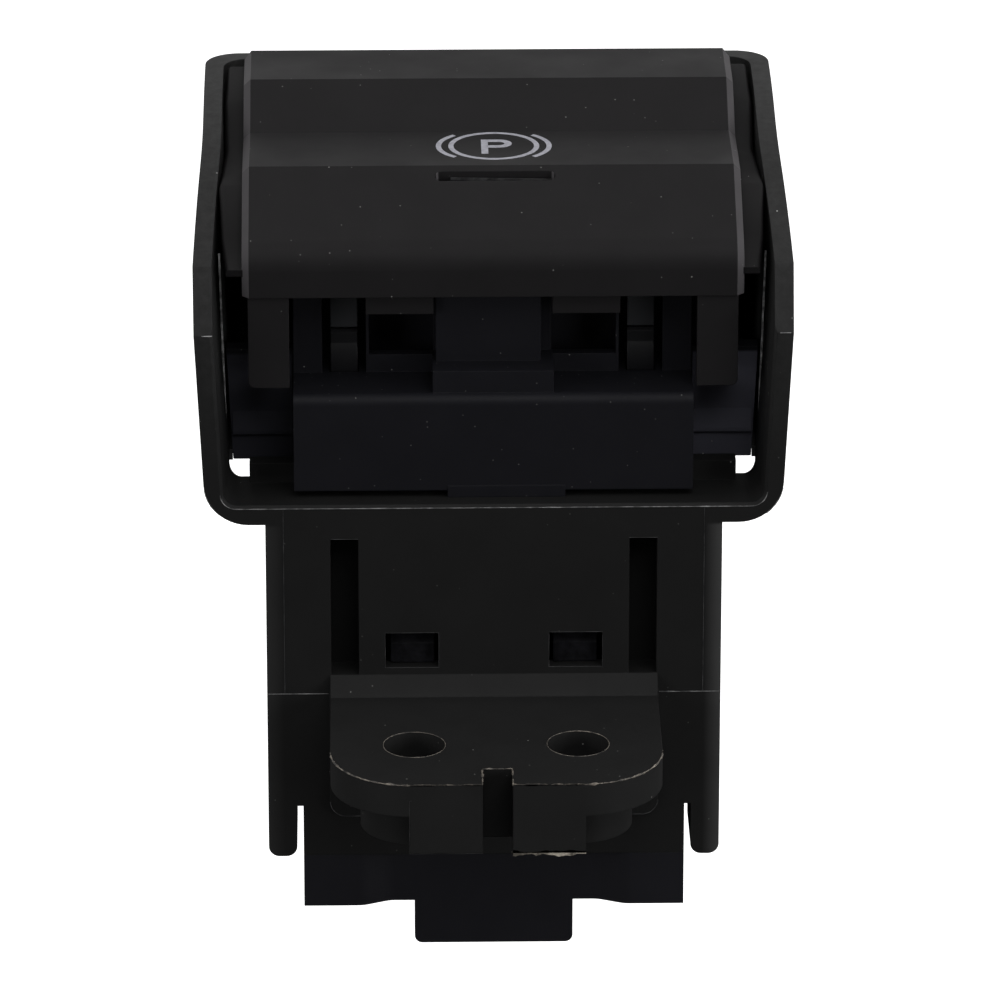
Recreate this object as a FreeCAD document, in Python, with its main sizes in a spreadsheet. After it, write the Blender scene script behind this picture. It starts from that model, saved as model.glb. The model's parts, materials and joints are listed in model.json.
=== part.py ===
import FreeCAD, Part
import math
import os
import re
import Sketcher

# Electric parking brake switch: a sprung paddle in a U-shaped bezel.
# Millimetres. +X right, +Y back, +Z up. The origin is the middle of the two
# bolt holes on the upper face of the mounting flange.

doc = FreeCAD.newDocument("parking_brake_switch")
sheet = doc.addObject("Spreadsheet::Sheet", "Size")
# Driving sizes, in millimetres unless the note says degrees or turns
sizes = {
    # Mounting flange
    "bolt_spacing": 16.3,  # distance between the two bolt holes
    "bolt_hole_radius": 3.1,  # radius of each bolt hole
    "flange_thick": 3.4,  # thickness of the flange
    "flange_half": 16.5,  # half width of the flange
    "flange_reach": 9.8,  # flange ahead of the bolt line
    "flange_corner": 8.0,  # radius of the front corners of the flange
    "bolt_to_front": 13.4,  # bolt line to the front face of the housing
    "root_bevel_rise": 1.8,  # height of the bevel at the flange root
    "root_bevel_run": 1.7,  # depth of the bevel at the flange root
    "boss_radius": 5.4,  # outer radius of the bosses under the bolt holes
    "boss_drop": 8.4,  # bottom of the bosses below the flange top
    "key_half": 8.7,  # half width of the block between the bosses
    "key_drop": 7.4,  # bottom of the block below the flange top
    "key_depth": 7.3,  # depth of the block, front to back
    "notch_half": 1.5,  # half width of the locating notch
    "notch_depth": 3.85,  # depth of the locating notch
    "root_pad_half": 16.6,  # half width of the pad under the flange root
    "root_pad_drop": 13.5,  # bottom of the pad below the flange top
    "root_pad_proud": 0.8,  # how far the pad stands out of the front face
    # Housing body
    "wall": 1.8,  # wall of the housing body
    "body_half": 22.9,  # half width of the body
    "body_depth": 32.6,  # depth of the body, front to back
    "body_step_z": -12.7,  # height where the body narrows to its foot
    "foot_half": 19.35,  # half width of the foot of the body
    "foot_z": -18.2,  # underside of the body
    "leg_gap": 0.65,  # slit between the foot and each leg
    "leg_depth": 8.0,  # depth of each leg, front to back
    "leg_tip_z": -18.3,  # tip of each leg
    "leg_tip_radius": 1.1,  # rounding of the leg tips
    "slot_in": 13.6,  # inner edge of the long slots from the middle
    "slot_out": 16.4,  # outer edge of the long slots from the middle
    "slot_top_z": 16.6,  # top of the long slots
    "slot_depth": 3.2,  # depth of the long slots
    "slot_skin": 0.9,  # skin behind and beside the long slots
    "window_in": 5.55,  # inner edge of the latch windows
    "window_out": 10.95,  # outer edge of the latch windows
    "window_bottom_z": 2.55,  # bottom of the latch windows
    "window_top_z": 6.35,  # top of the latch windows
    # Bezel
    "bezel_bottom_z": 18.2,  # underside of the bezel
    "bezel_floor": 2.02,  # thickness of the bezel floor
    "bezel_floor_depth": 6.4,  # depth of the bezel floor at its corners
    "bezel_half": 28.82,  # half width of the bezel at its underside
    "bezel_draft": 0.0481,  # gain in half width for each unit of height
    "bezel_depth": 42.6,  # depth of the bezel at its underside
    "side_bend_start": 18.1,  # straight front run of the bezel sides
    "side_bend_tuck": 1.05,  # side tuck where the bend starts
    "side_bend_end": 27.1,  # end of the bend behind the front face
    "side_bend_end_tuck": 1.337,  # side tuck where the bend ends
    "side_bend_radius": 172.5,  # radius of the bend in the bezel sides
    "bezel_tuck": 1.427,  # side tuck at the back
    "cheek_wall": 1.9,  # thickness of the cheeks
    "cheek_lip": 0.3,  # bevel inside the front edge of the bezel
    "back_wall": 1.8,  # thickness of the back wall
    "bezel_corner": 4.5,  # outer radius of the lower corners
    "bezel_inner_corner": 1.3,  # inner radius of the lower corners
    "bezel_back_corner": 2.6,  # inner radius of the back corners
    "cheek_front_z": 38.5,  # top of the upright front edge of the cheeks
    "kink_run": 3.6,  # run of the sloped front edge of the cheeks
    "kink_rise": 6.0,  # rise of the sloped front edge of the cheeks
    "bezel_back_z": 52.8,  # top of the back wall
    "crown_run": 44.0,  # front face to the back end of the crown
    "crown_radius": 91.5,  # radius of the curved top edge of the cheeks
    "shelf_z": 27.5,  # top of the shelf between body and cheeks
    "shelf_thick": 1.6,  # thickness of the shelf
    "tub_half": 24.5,  # half width of the tub behind the bezel floor
    "tub_front_z": 22.3,  # top of the low front wall of the tub
    "tub_side_z": 21.2,  # top of the notched side walls of the tub
    "wing_rest_gap": 0.3,  # gap between the wings and the ribs behind them
    "wing_rest_depth": 1.2,  # depth of the ribs behind the wings
    "tub_notch_depth": 5.2,  # depth of the notch for the inner frame wings
    # Inner frame
    "box_half": 20.0,  # half width of the inner box
    "box_setback": 2.2,  # inner box front behind the housing front
    "box_bottom_z": 20.94,  # underside of the inner box
    "deck_z": 31.1,  # top of the deck
    "box_edge": 1.0,  # rounding of the front edge of the deck
    "box_wall": 1.6,  # wall of the inner box
    "foot_pad_left": 4.6,  # left end of the foot under the box
    "foot_pad_right": 7.2,  # right end of the foot under the box
    "block_half": 6.05,  # half width of the raised block on the deck
    "block_gap": 0.9,  # raised block front behind the box front
    "block_top_z": 33.4,  # top of the raised block
    "tower_left": 5.7,  # left side of the centre tower
    "tower_right": 4.8,  # right side of the centre tower
    "tower_setback": 5.9,  # tower front behind the housing front
    "tower_top_z": 40.8,  # top of the centre tower
    "guide_setback": 8.9,  # guide block front behind the housing front
    "guide_depth": 6.0,  # depth of the guide block
    "guide_top_z": 39.2,  # top of the guide block
    "sill_z": 33.0,  # top of the window sills
    "sill_depth": 1.2,  # depth of the window sills
    "recess_in": 5.9,  # inner edge of the finger recess windows
    "recess_out": 12.4,  # outer edge of the finger recess windows
    "recess_depth": 3.9,  # depth of the finger recess windows
    "channel_half": 2.2,  # half width of each slider channel
    "channel_play": 0.9,  # room behind the pushers in the channels
    "wing_setback": 9.6,  # wing front behind the housing front
    "wing_thick": 1.8,  # thickness of the wings
    "wing_bottom_z": 21.5,  # underside of the wings
    "wing_top_z": 33.4,  # top of the wings
    "wing_gap": 0.25,  # gap between the wings and the cheeks
    "wing_tuck": 0.66,  # tuck of the bezel sides beside the wings
    "wing_corner": 0.15,  # rounding of the lower corners of the wings
    "ridge_z": 24.7,  # height of the ridge across the wings
    "ridge_proud": 0.4,  # how far the ridge stands out
    "base_half": 24.3,  # half width of the base plate
    "base_thick": 1.8,  # thickness of the base plate
    "platform_z": 38.0,  # top of the lamp platform
    "platform_half": 6.0,  # half width of the lamp platform
    "platform_depth": 9.7,  # depth of the lamp platform
    "ear_thick": 2.0,  # thickness of the axle ears
    "ear_gap": 0.4,  # gap between the ears and the lever
    "ear_half_depth": 4.0,  # half depth of the axle ears
    # Paddle cap
    "paddle_half": 25.0,  # half width of the paddle
    "paddle_setback": 3.6,  # paddle lip behind the housing front
    "lip_z": 41.1,  # underside of the paddle lip
    "lip_radius": 3.0,  # rounding of the paddle lip
    "brow_slope": 26.0,  # slope of the paddle brow in degrees
    "symbol_front": 14.5,  # front of the symbol face behind the housing front
    "symbol_length": 11.2,  # depth of the symbol face
    "symbol_front_z": 51.1,  # front height of the symbol face
    "symbol_back_z": 50.65,  # back height of the symbol face
    "step_run": 6.3,  # depth of the step behind the symbol face
    "crest_length": 9.0,  # depth of the crest
    "crest_z": 54.2,  # height of the crest
    "cap_wall": 1.6,  # wall of the cap
    "cap_bevel": 0.7,  # bevel along the side edges of the cap
    "lobe_in": 20.35,  # inner edge of the side lobes
    "lobe_out": 24.45,  # outer edge of the side lobes
    "lobe_inset": 0.3,  # lobe face behind the lip face
    "lobe_bottom_z": 31.4,  # bottom of the side lobes
    "lobe_depth": 4.5,  # depth of the side lobes
    "tab_in": 5.95,  # inner edge of the lip tabs
    "tab_out": 12.7,  # outer edge of the lip tabs
    "tab_bottom_z": 38.8,  # bottom of the lip tabs
    "tab_depth": 1.6,  # depth of the lip tabs
    "lamp_slot_half": 6.04,  # half length of the indicator slot
    "lamp_slot_shift": 0.35,  # middle of the indicator slot, to the right
    "lamp_slot_radius": 0.6,  # half width of the indicator slot
    "lamp_slot_back": 1.35,  # indicator slot ahead of the symbol face
    "cap_rib_x": 11.8,  # ribs of the cap from the middle
    "cap_rib_thick": 1.6,  # thickness of the ribs of the cap
    # Lever and hinge
    "hinge_setback": 32.6,  # hinge axis behind the housing front
    "hinge_z": 44.0,  # height of the hinge axis
    "axle_radius": 1.5,  # radius of the axle
    "axle_clearance": 0.05,  # radial clearance of the lever on the axle
    "axle_seat": 0.02,  # radial clearance of the axle in its ears
    "lever_half": 20.5,  # half width of the lever
    "lever_thick": 2.0,  # thickness of the lever plate
    "lever_drop": 1.9,  # underside of the lever plate below the axis
    "lever_front": 9.4,  # front of the lever behind the housing front
    "lever_back": 28.6,  # back of the lever plate behind the housing front
    "hub_radius": 3.4,  # outer radius of the lever hubs
    "hub_width": 2.7,  # width of each lever hub
    "lamp_hole_half": 4.8,  # half width of the light hole in the lever
    "lamp_hole_front": 15.2,  # front of the light hole behind the housing front
    "lamp_hole_depth": 8.2,  # depth of the light hole
    # Sliders, springs and contacts
    "slider_x": 14.9,  # sliders from the middle
    "slider_half": 1.35,  # half width of each slider
    "slider_depth": 3.6,  # depth of each slider
    "slider_setback": 9.6,  # slider front behind the housing front
    "slider_top_z": 35.4,  # top of each slider
    "slider_bottom_z": 8.0,  # underside of each slider
    "slider_belly": 0.5,  # bulge of the visible slider face
    "slider_belly_radius": 4.5,  # radius of the visible slider face
    "slide_clearance": 0.12,  # clearance of each slider in its guide
    "pusher_gap": 0.3,  # gap between pusher and slider
    "spring_bottom_z": -2.0,  # seat of the slider springs
    "spring_radius": 1.4,  # mean radius of the slider springs
    "spring_wire": 0.4,  # wire of the slider springs
    "spring_turns": 5,  # turns of the slider springs
    "spigot_radius": 0.95,  # radius of the spring spigots
    "spigot_length": 2.0,  # length of the spring spigots
    "seat_gap": 0.1,  # gap at each end of a spring
    "coil_radius": 2.2,  # mean radius of the return springs
    "coil_wire": 0.5,  # wire of the return springs
    "coil_turns": 4.75,  # turns of the return springs
    "coil_steps": 12,  # straight lengths that a spring turn is made of
    "coil_pitch": 0.75,  # pitch of the return springs
    "coil_x": 13.2,  # inner end of the return springs from the middle
    "coil_leg": 6.0,  # length of the leg under the lever
    "board_setback": 15.6,  # circuit board front behind the housing front
    "board_half": 19.5,  # half width of the circuit board
    "board_thick": 1.6,  # thickness of the circuit board
    "board_top_z": 19.0,  # top edge of the circuit board
    "board_bottom_z": -13.0,  # bottom edge of the circuit board
    "board_foot_half": 17.2,  # half width of the board foot
    "board_foot_z": -10.5,  # top of the board foot
    "wiper_half": 1.0,  # half width of the contact wipers
    "wiper_z": 14.0,  # height of the contact wipers
    "wiper_reach": 3.9,  # half length of the contact wipers
    "wiper_strip": 0.35,  # strip of the contact wipers
    "contact_gap": 0.1,  # gap between wiper and board
    "chip_half": 3.6,  # half size of the control chip
    "chip_thick": 1.3,  # thickness of the control chip
    "chip_z": 5.0,  # height of the control chip
    "screw_x": 15.0,  # board screws from the middle
    "screw_z": -9.0,  # height of the board screws
    "screw_radius": 0.9,  # radius of the board screws
    "screw_head_radius": 1.9,  # head radius of the board screws
    "screw_head": 1.3,  # head height of the board screws
    "screw_length": 8.0,  # length of the board screws
    "screw_seat": 0.03,  # radial clearance of the screws
    "screw_boss_radius": 2.8,  # radius of the board bosses
    # Connector cover and its contacts
    "cover_bottom_z": -23.9,  # bottom edge of the connector cover
    "cover_wall": 1.8,  # wall of the connector cover
    "cover_plate": 1.8,  # plate of the cover inside the body
    "cover_fit": 0.2,  # gap between the cover plate and the body
    "cover_dip": 1.2,  # depth of the middle of the cover front
    "dip_in": 10.6,  # inner end of the slope at the cover front
    "dip_out": 13.35,  # outer end of the slope at the cover front
    "dip_radius": 2.6,  # rounding of the slope at the cover front
    "tongue_half": 8.08,  # half width of the latch tongue
    "tongue_bottom_z": -28.7,  # bottom of the latch tongue
    "tongue_corner": 0.8,  # rounding of the latch tongue
    "socket_half": 9.9,  # inner half width of the connector socket
    "socket_setback": 10.5,  # socket opening behind the housing front
    "socket_depth": 12.2,  # depth of the socket opening, front to back
    "socket_wall": 1.3,  # wall of the connector socket
    "arm_in": 6.0,  # inner edge of the latch arms
    "arm_out": 10.4,  # outer edge of the latch arms
    "arm_thick": 1.4,  # thickness of the latch arms
    "arm_gap": 0.3,  # gap between the latch arms and the front wall
    "hook_bite": 0.6,  # how far the latch hooks reach into the windows
    "hook_low_z": 2.65,  # catch face of the latch hooks
    "hook_high_z": 5.6,  # top of the latch hooks
    "column_half": 1.9,  # half size of the spring columns
    "pin_half": 0.32,  # half thickness of the contact pins
    "pin_pitch": 2.54,  # pitch of the contact pins
    "pin_tip_z": -23.2,  # tips of the contact pins
    "pin_top_z": -10.5,  # upper ends of the contact pins
    "header_half": 9.0,  # half width of the pin header
    "header_half_depth": 3.2,  # half depth of the pin header
    # Light path
    "lamp_board_half": 5.4,  # half width of the lamp board
    "lamp_board_thick": 0.8,  # thickness of the lamp board
    "lamp_board_depth": 9.0,  # depth of the lamp board
    "lamp_half": 1.5,  # half size of each lamp
    "lamp_height": 1.4,  # height of each lamp
    "lamp_spread": 4.2,  # distance between the two lamps
    "ribbon_half": 2.5,  # half width of the lamp ribbon
    "ribbon_thick": 0.4,  # thickness of the lamp ribbon
    "ribbon_low_z": 14.0,  # lower end of the lamp ribbon
    "guide_half": 6.4,  # half width of the light guide
    "guide_gap": 0.1,  # gap between the light guide and the cap
    "lens_inset": 0.12,  # gap around the indicator lens
    "lens_left": 4.1,  # left end of the indicator lens
    "lens_right": 6.15,  # right end of the indicator lens
    "lens_sink": 0.5,  # indicator lens below the paddle face
    "lens_tilt": 0.7,  # drop of the lens top from left to right
    "pad_half": 2.0,  # half size of the rubber stops
    "pad_thick": 1.45,  # thickness of the rubber stops
    "pad_x": 9.2,  # rubber stops from the middle
}
for line, (alias, amount) in enumerate(sizes.items(), 1):
    sheet.set("A%d" % line, alias.replace("_", " "))
    sheet.set("B%d" % line, str(amount))
    sheet.setAlias("B%d" % line, alias)
doc.recompute()


def bound(text):
    """Turn bare size names in a text into references to the sheet."""
    def refer(match):
        word = match.group(0)
        return "Size." + word if word in sizes else word
    return re.sub(r"[A-Za-z_]\w*", refer, text)


def value(text):
    """Give the present value of a text of sizes."""
    return float(sheet.evalExpression(bound(text)))


def new_body(label):
    """Start one piece of the switch."""
    body = doc.addObject("PartDesign::Body", label)
    body.Label = label
    return body


def sketch_on(body, role, offset, name):
    """Add a sketch on a base plane of the piece, shifted along its normal."""
    sketch = body.newObject("Sketcher::SketchObject", name)
    plane = [f for f in body.Origin.OriginFeatures if f.Role == role][0]
    sketch.AttachmentSupport = [(plane, "")]
    sketch.MapMode = "FlatFace"
    sketch.setExpression(".AttachmentOffset.Base.z", bound(offset))
    return sketch


def fix_point(sketch, geometry, place, across, up):
    """Tie one point of a sketch to two sizes."""
    for kind, text in (("DistanceX", across), ("DistanceY", up)):
        index = sketch.addConstraint(
            Sketcher.Constraint(kind, -1, 1, geometry, place, value(text)))
        sketch.setExpression("Constraints[%d]" % index, bound(text))


def polygon(sketch, points, arcs=None):
    """Draw a closed outline; arcs maps a side number to (radius, turn)."""
    arcs = arcs or {}
    base = sketch.GeometryCount
    spots = [FreeCAD.Vector(value(a), value(b), 0) for a, b in points]
    count = len(spots)
    for i in range(count):
        start, end = spots[i], spots[(i + 1) % count]
        if i in arcs:
            radius = value(arcs[i][0])
            chord = end - start
            rise = math.sqrt(radius ** 2 - (chord.Length / 2) ** 2)
            side = FreeCAD.Vector(-chord.y, chord.x, 0).normalize()
            middle = (start + end) * 0.5
            bulge = middle - side * arcs[i][1] * (radius - rise)
            sketch.addGeometry(Part.Arc(start, bulge, end))
        else:
            sketch.addGeometry(Part.LineSegment(start, end))
    ends = []
    for i in range(count):
        turned = False
        if i in arcs:
            first = sketch.getPoint(base + i, 1)
            turned = first.distanceToPoint(spots[i]) > 1e-6
        ends.append((2, 1) if turned else (1, 2))
    for i in range(count):
        other = (i + 1) % count
        sketch.addConstraint(Sketcher.Constraint(
            "Coincident", base + i, ends[i][1], base + other, ends[other][0]))
        fix_point(sketch, base + i, ends[i][0], points[i][0], points[i][1])
    for i in arcs:
        index = sketch.addConstraint(
            Sketcher.Constraint("Radius", base + i, value(arcs[i][0])))
        sketch.setExpression("Constraints[%d]" % index, bound(arcs[i][0]))


def rectangle(sketch, left, right, low, high):
    """Draw a rectangle between four sizes."""
    polygon(sketch, [(left, low), (right, low), (right, high), (left, high)])


def pair(sketch, near, far, low, high):
    """Draw a rectangle on each side of the middle plane."""
    rectangle(sketch, near, far, low, high)
    rectangle(sketch, "-(%s)" % far, "-(%s)" % near, low, high)


def circle(sketch, across, up, radius):
    """Draw a circle with its centre and radius tied to sizes."""
    centre = FreeCAD.Vector(value(across), value(up), 0)
    index = sketch.addGeometry(
        Part.Circle(centre, FreeCAD.Vector(0, 0, 1), value(radius)))
    fix_point(sketch, index, 3, across, up)
    limit = sketch.addConstraint(
        Sketcher.Constraint("Radius", index, value(radius)))
    sketch.setExpression("Constraints[%d]" % limit, bound(radius))


def grow(body, sketch, length, backward=False):
    """Pad a sketch; backward goes against the normal of its plane."""
    pad = body.newObject("PartDesign::Pad", sketch.Name + "_pad")
    pad.Profile = sketch
    pad.setExpression("Length", bound(length))
    pad.Reversed = backward
    doc.recompute()
    return pad


def carve(body, sketch, length, backward=False):
    """Pocket a sketch along the normal of its plane and see that it cuts."""
    before = body.Shape.Volume
    cut = body.newObject("PartDesign::Pocket", sketch.Name + "_cut")
    cut.Profile = sketch
    cut.setExpression("Length", bound(length))
    cut.Reversed = not backward
    doc.recompute()
    if body.Shape.Volume >= before:
        raise RuntimeError(sketch.Name + " cuts nothing")
    return cut


def edges_where(feature, test):
    """Name the edges of a feature whose middle and direction pass a test."""
    names = []
    for number, edge in enumerate(feature.Shape.Edges, 1):
        low, high = edge.ParameterRange
        middle = edge.valueAt((low + high) / 2)
        run = edge.valueAt(high) - edge.valueAt(low)
        if test(middle, run):
            names.append("Edge%d" % number)
    return names


def along(run, axis):
    """Say whether an edge runs along one axis."""
    parts = [abs(run.x), abs(run.y), abs(run.z)]
    return parts["xyz".index(axis)] > 0.98 * run.Length > 0


def round_edges(body, names, radius):
    """Round the named edges of the newest feature of a piece."""
    fillet = body.newObject("PartDesign::Fillet", body.Name + "_round")
    fillet.Base = (body.Tip if body.Tip != fillet else fillet.BaseFeature, names)
    fillet.setExpression("Radius", bound(radius))
    doc.recompute()
    return fillet


def bevel_edges(body, names, amount):
    """Bevel the named edges of the newest feature of a piece."""
    chamfer = body.newObject("PartDesign::Chamfer", body.Name + "_bevel")
    chamfer.Base = (body.Tip if body.Tip != chamfer else chamfer.BaseFeature,
                    names)
    chamfer.setExpression("Size", bound(amount))
    doc.recompute()
    return chamfer


def block(label, left, right, near, far, low, high):
    """Make a plain rectangular piece between six sizes."""
    box = doc.addObject("Part::Box", label)
    box.Label = label
    box.setExpression("Length", bound("(%s) - (%s)" % (right, left)))
    box.setExpression("Width", bound("(%s) - (%s)" % (far, near)))
    box.setExpression("Height", bound("(%s) - (%s)" % (high, low)))
    box.setExpression(".Placement.Base.x", bound(left))
    box.setExpression(".Placement.Base.y", bound(near))
    box.setExpression(".Placement.Base.z", bound(low))
    return box


# Places that several pieces share
FLOOR_Z = "(bezel_bottom_z + bezel_floor)"
BEZEL_BACK = "(bolt_to_front + bezel_depth)"
SPAN = "(bezel_back_z + 4)"
HINGE_Y = "(bolt_to_front + hinge_setback)"
LIP_Y = "(bolt_to_front + paddle_setback)"
SYMBOL_Y = "(bolt_to_front + symbol_front)"
STEP_Y = "(bolt_to_front + symbol_front + symbol_length)"
CREST_Y = "(bolt_to_front + symbol_front + symbol_length + step_run)"
TAIL_Y = ("(bolt_to_front + symbol_front + symbol_length + step_run"
          " + crest_length)")
PLATE_Z = "(hinge_z - lever_drop)"
PLATE_TOP = "(hinge_z - lever_drop + lever_thick)"
BOX_Y = "(bolt_to_front + box_setback)"
GUIDE_Y = "(bolt_to_front + guide_setback)"
GUIDE_BACK = "(bolt_to_front + guide_setback + guide_depth)"
SLIDER_Y = "(bolt_to_front + slider_setback)"
SLIDER_MID = "(bolt_to_front + slider_setback + slider_depth / 2)"
SLIDER_BACK = "(bolt_to_front + slider_setback + slider_depth)"
BOARD_Y = "(bolt_to_front + board_setback)"
BOARD_BACK = "(bolt_to_front + board_setback + board_thick)"
BODY_BACK = "(bolt_to_front + body_depth)"
EAR_IN = "(lever_half + ear_gap)"
EAR_OUT = "(lever_half + ear_gap + ear_thick)"
WING_Y = "(bolt_to_front + wing_setback)"
COVER_TOP = "(foot_z + cover_plate)"
LAMP_Z = "(platform_z + lamp_board_thick)"
RIBBON_Y = "(bolt_to_front + board_setback - ribbon_thick)"


def half_at(height, tuck):
    """Give the outer half width of the bezel at a height."""
    return ("(bezel_half + bezel_draft * (%s - bezel_bottom_z) - %s)"
            % (height, tuck))


def bezel_plan(body, name, level, wall, back):
    """Draw the plan of the bezel, or of its hollow, at a height."""
    sketch = sketch_on(body, "XY_Plane", level, name)
    lead = "(-3 * side_bend_tuck / side_bend_start)"
    nose = "(%s - %s)" % (half_at(level, lead), wall)
    bend = "(%s - %s)" % (half_at(level, "side_bend_tuck"), wall)
    past = "(%s - %s)" % (half_at(level, "side_bend_end_tuck"), wall)
    tail = "(%s - %s)" % (half_at(level, "bezel_tuck"), wall)
    polygon(sketch, [
        ("-" + nose, "bolt_to_front - 3"),
        (nose, "bolt_to_front - 3"),
        (bend, "bolt_to_front + side_bend_start"),
        (past, "bolt_to_front + side_bend_end"),
        (tail, back),
        ("-" + tail, back),
        ("-" + past, "bolt_to_front + side_bend_end"),
        ("-" + bend, "bolt_to_front + side_bend_start")],
        {2: ("side_bend_radius", -1), 6: ("side_bend_radius", -1)})
    return sketch


def flare(body, feature, level, backward):
    """Lean the upright sides of a feature by the draft, from a level up."""
    upright = []
    for number, face in enumerate(feature.Shape.Faces, 1):
        middle = face.CenterOfMass
        out = face.normalAt(*face.Surface.parameter(middle))
        if abs(out.z) < 0.001 and middle.y > value("bolt_to_front - 2.9"):
            upright.append("Face%d" % number)
        if abs(out.z) > 0.99 and abs(middle.z - value(level)) < 0.01:
            ground = "Face%d" % number
    lean = body.newObject("PartDesign::Draft", feature.Name + "_lean")
    lean.Base = (feature, upright)
    lean.NeutralPlane = (feature, [ground])
    lean.Reversed = backward
    lean.setExpression("Angle", bound("atan(bezel_draft)"))
    doc.recompute()
    return lean


# Housing: bezel, body, flange and legs in one moulding
housing = new_body("housing")
form = grow(housing, bezel_plan(housing, "bezel_form", "bezel_bottom_z", "0",
                                BEZEL_BACK), SPAN + " - bezel_bottom_z")
form = flare(housing, form, "bezel_bottom_z", True)
sides = edges_where(form, lambda m, r: along(r, "y")
                    and abs(m.z - value("bezel_bottom_z")) < 0.01)
round_edges(housing, sides, "bezel_corner")
hollow = carve(housing, bezel_plan(housing, "bezel_hollow", FLOOR_Z,
                                   "cheek_wall", BEZEL_BACK + " - back_wall"),
               SPAN + " - %s + 1" % FLOOR_Z)
hollow = flare(housing, hollow, FLOOR_Z, False)
sides = edges_where(hollow, lambda m, r: along(r, "y")
                    and abs(m.z - value(FLOOR_Z)) < 0.01)
round_edges(housing, sides, "bezel_inner_corner")
trim = sketch_on(housing, "XZ_Plane", "-bolt_to_front", "front_plane")
rectangle(trim, "-(bezel_half + 5)", "bezel_half + 5",
          "bezel_bottom_z - 1", SPAN + " + 1")
carve(housing, trim, "10")

# The cheeks rise steeply at the front, then crown gently to the back wall
crown = sketch_on(housing, "YZ_Plane", "-(bezel_half + 5)", "crown")
polygon(crown, [
    ("bolt_to_front - 1", "cheek_front_z"),
    ("bolt_to_front", "cheek_front_z"),
    ("bolt_to_front + kink_run", "cheek_front_z + kink_rise"),
    ("bolt_to_front + crown_run", "bezel_back_z"),
    ("bolt_to_front + crown_run + 4", "bezel_back_z"),
    ("bolt_to_front + crown_run + 4", SPAN + " + 1"),
    ("bolt_to_front - 1", SPAN + " + 1")],
    {2: ("crown_radius", -1)})
carve(housing, crown, "2 * (bezel_half + 5)")

under = sketch_on(housing, "YZ_Plane", "-(bezel_half + 5)", "underside")
polygon(under, [
    ("bolt_to_front + bezel_floor_depth", "bezel_bottom_z - 1"),
    (BEZEL_BACK + " + 4", "bezel_bottom_z - 1"),
    (BEZEL_BACK + " + 4", "shelf_z - shelf_thick"),
    ("bolt_to_front + 2 * bezel_floor_depth", "shelf_z - shelf_thick"),
    ("bolt_to_front + bezel_floor_depth", "bezel_bottom_z")])
carve(housing, under, "2 * (bezel_half + 5)")
lips = edges_where(
    housing.Tip, lambda m, r: abs(m.y - value("bolt_to_front")) < 0.01
    and abs(m.x) < value("bezel_half - cheek_wall + 1.2")
    and m.z > value(FLOOR_Z + " - 0.01"))
bevel_edges(housing, lips, "cheek_lip")
MIDWALL_Y = (BEZEL_BACK + " - back_wall / 2 + bezel_draft"
             " * ((shelf_z + bezel_back_z) / 2 - bezel_bottom_z)")
backs = edges_where(housing.Tip, lambda m, r: along(r, "z")
                    and value(MIDWALL_Y + " - back_wall") < m.y
                    and m.y < value(MIDWALL_Y))
round_edges(housing, backs, "bezel_back_corner")
backs = edges_where(housing.Tip, lambda m, r: along(r, "z")
                    and m.y > value(MIDWALL_Y))
round_edges(housing, backs, "bezel_back_corner + back_wall / 2")

# Tub behind the bezel floor, which carries the inner frame
tub = sketch_on(housing, "XY_Plane", "bezel_bottom_z", "tub")
rectangle(tub, "-tub_half", "tub_half",
          "bolt_to_front + bezel_floor_depth", BEZEL_BACK)
grow(housing, tub, "shelf_z - bezel_bottom_z")
shelf = sketch_on(housing, "XY_Plane", "shelf_z - shelf_thick", "shelf")
shelf_edge = half_at("shelf_z", "bezel_tuck") + " - cheek_wall / 2"
pair(shelf, "tub_half - 0.5", shelf_edge,
     "bolt_to_front + 2 * bezel_floor_depth",
     BEZEL_BACK + " - back_wall / 2")
grow(housing, shelf, "shelf_thick")
rest = sketch_on(housing, "XY_Plane", "wing_bottom_z", "wing_rests")
rest_in = (half_at("wing_bottom_z", "wing_tuck")
           + " - cheek_wall - wing_gap - wing_rest_depth")
rest_out = half_at("wing_bottom_z", "wing_tuck") + " - cheek_wall / 2"
pair(rest, rest_in, rest_out,
     WING_Y + " + wing_thick + wing_rest_gap",
     WING_Y + " + wing_thick + wing_rest_gap + wing_rest_depth")
grow(housing, rest, "shelf_z - shelf_thick / 2 - wing_bottom_z")

# Body below the bezel, with a narrower foot and two side legs
trunk = sketch_on(housing, "XY_Plane", "body_step_z", "trunk")
rectangle(trunk, "-body_half", "body_half", "bolt_to_front", BODY_BACK)
grow(housing, trunk, "bezel_bottom_z + bezel_floor / 2 - body_step_z")
foot = sketch_on(housing, "XY_Plane", "foot_z", "foot")
rectangle(foot, "-foot_half", "foot_half", "bolt_to_front", BODY_BACK)
grow(housing, foot, "body_step_z - foot_z + 0.5")
legs = sketch_on(housing, "XY_Plane", "leg_tip_z", "legs")
pair(legs, "foot_half + leg_gap", "body_half",
     "bolt_to_front", "bolt_to_front + leg_depth")
grow(housing, legs, "body_step_z - leg_tip_z + 0.5")
leg_tips = edges_where(housing.Tip, lambda m, r: along(r, "y")
                       and abs(m.z - value("leg_tip_z")) < 0.01)
round_edges(housing, leg_tips, "leg_tip_radius")

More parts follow.
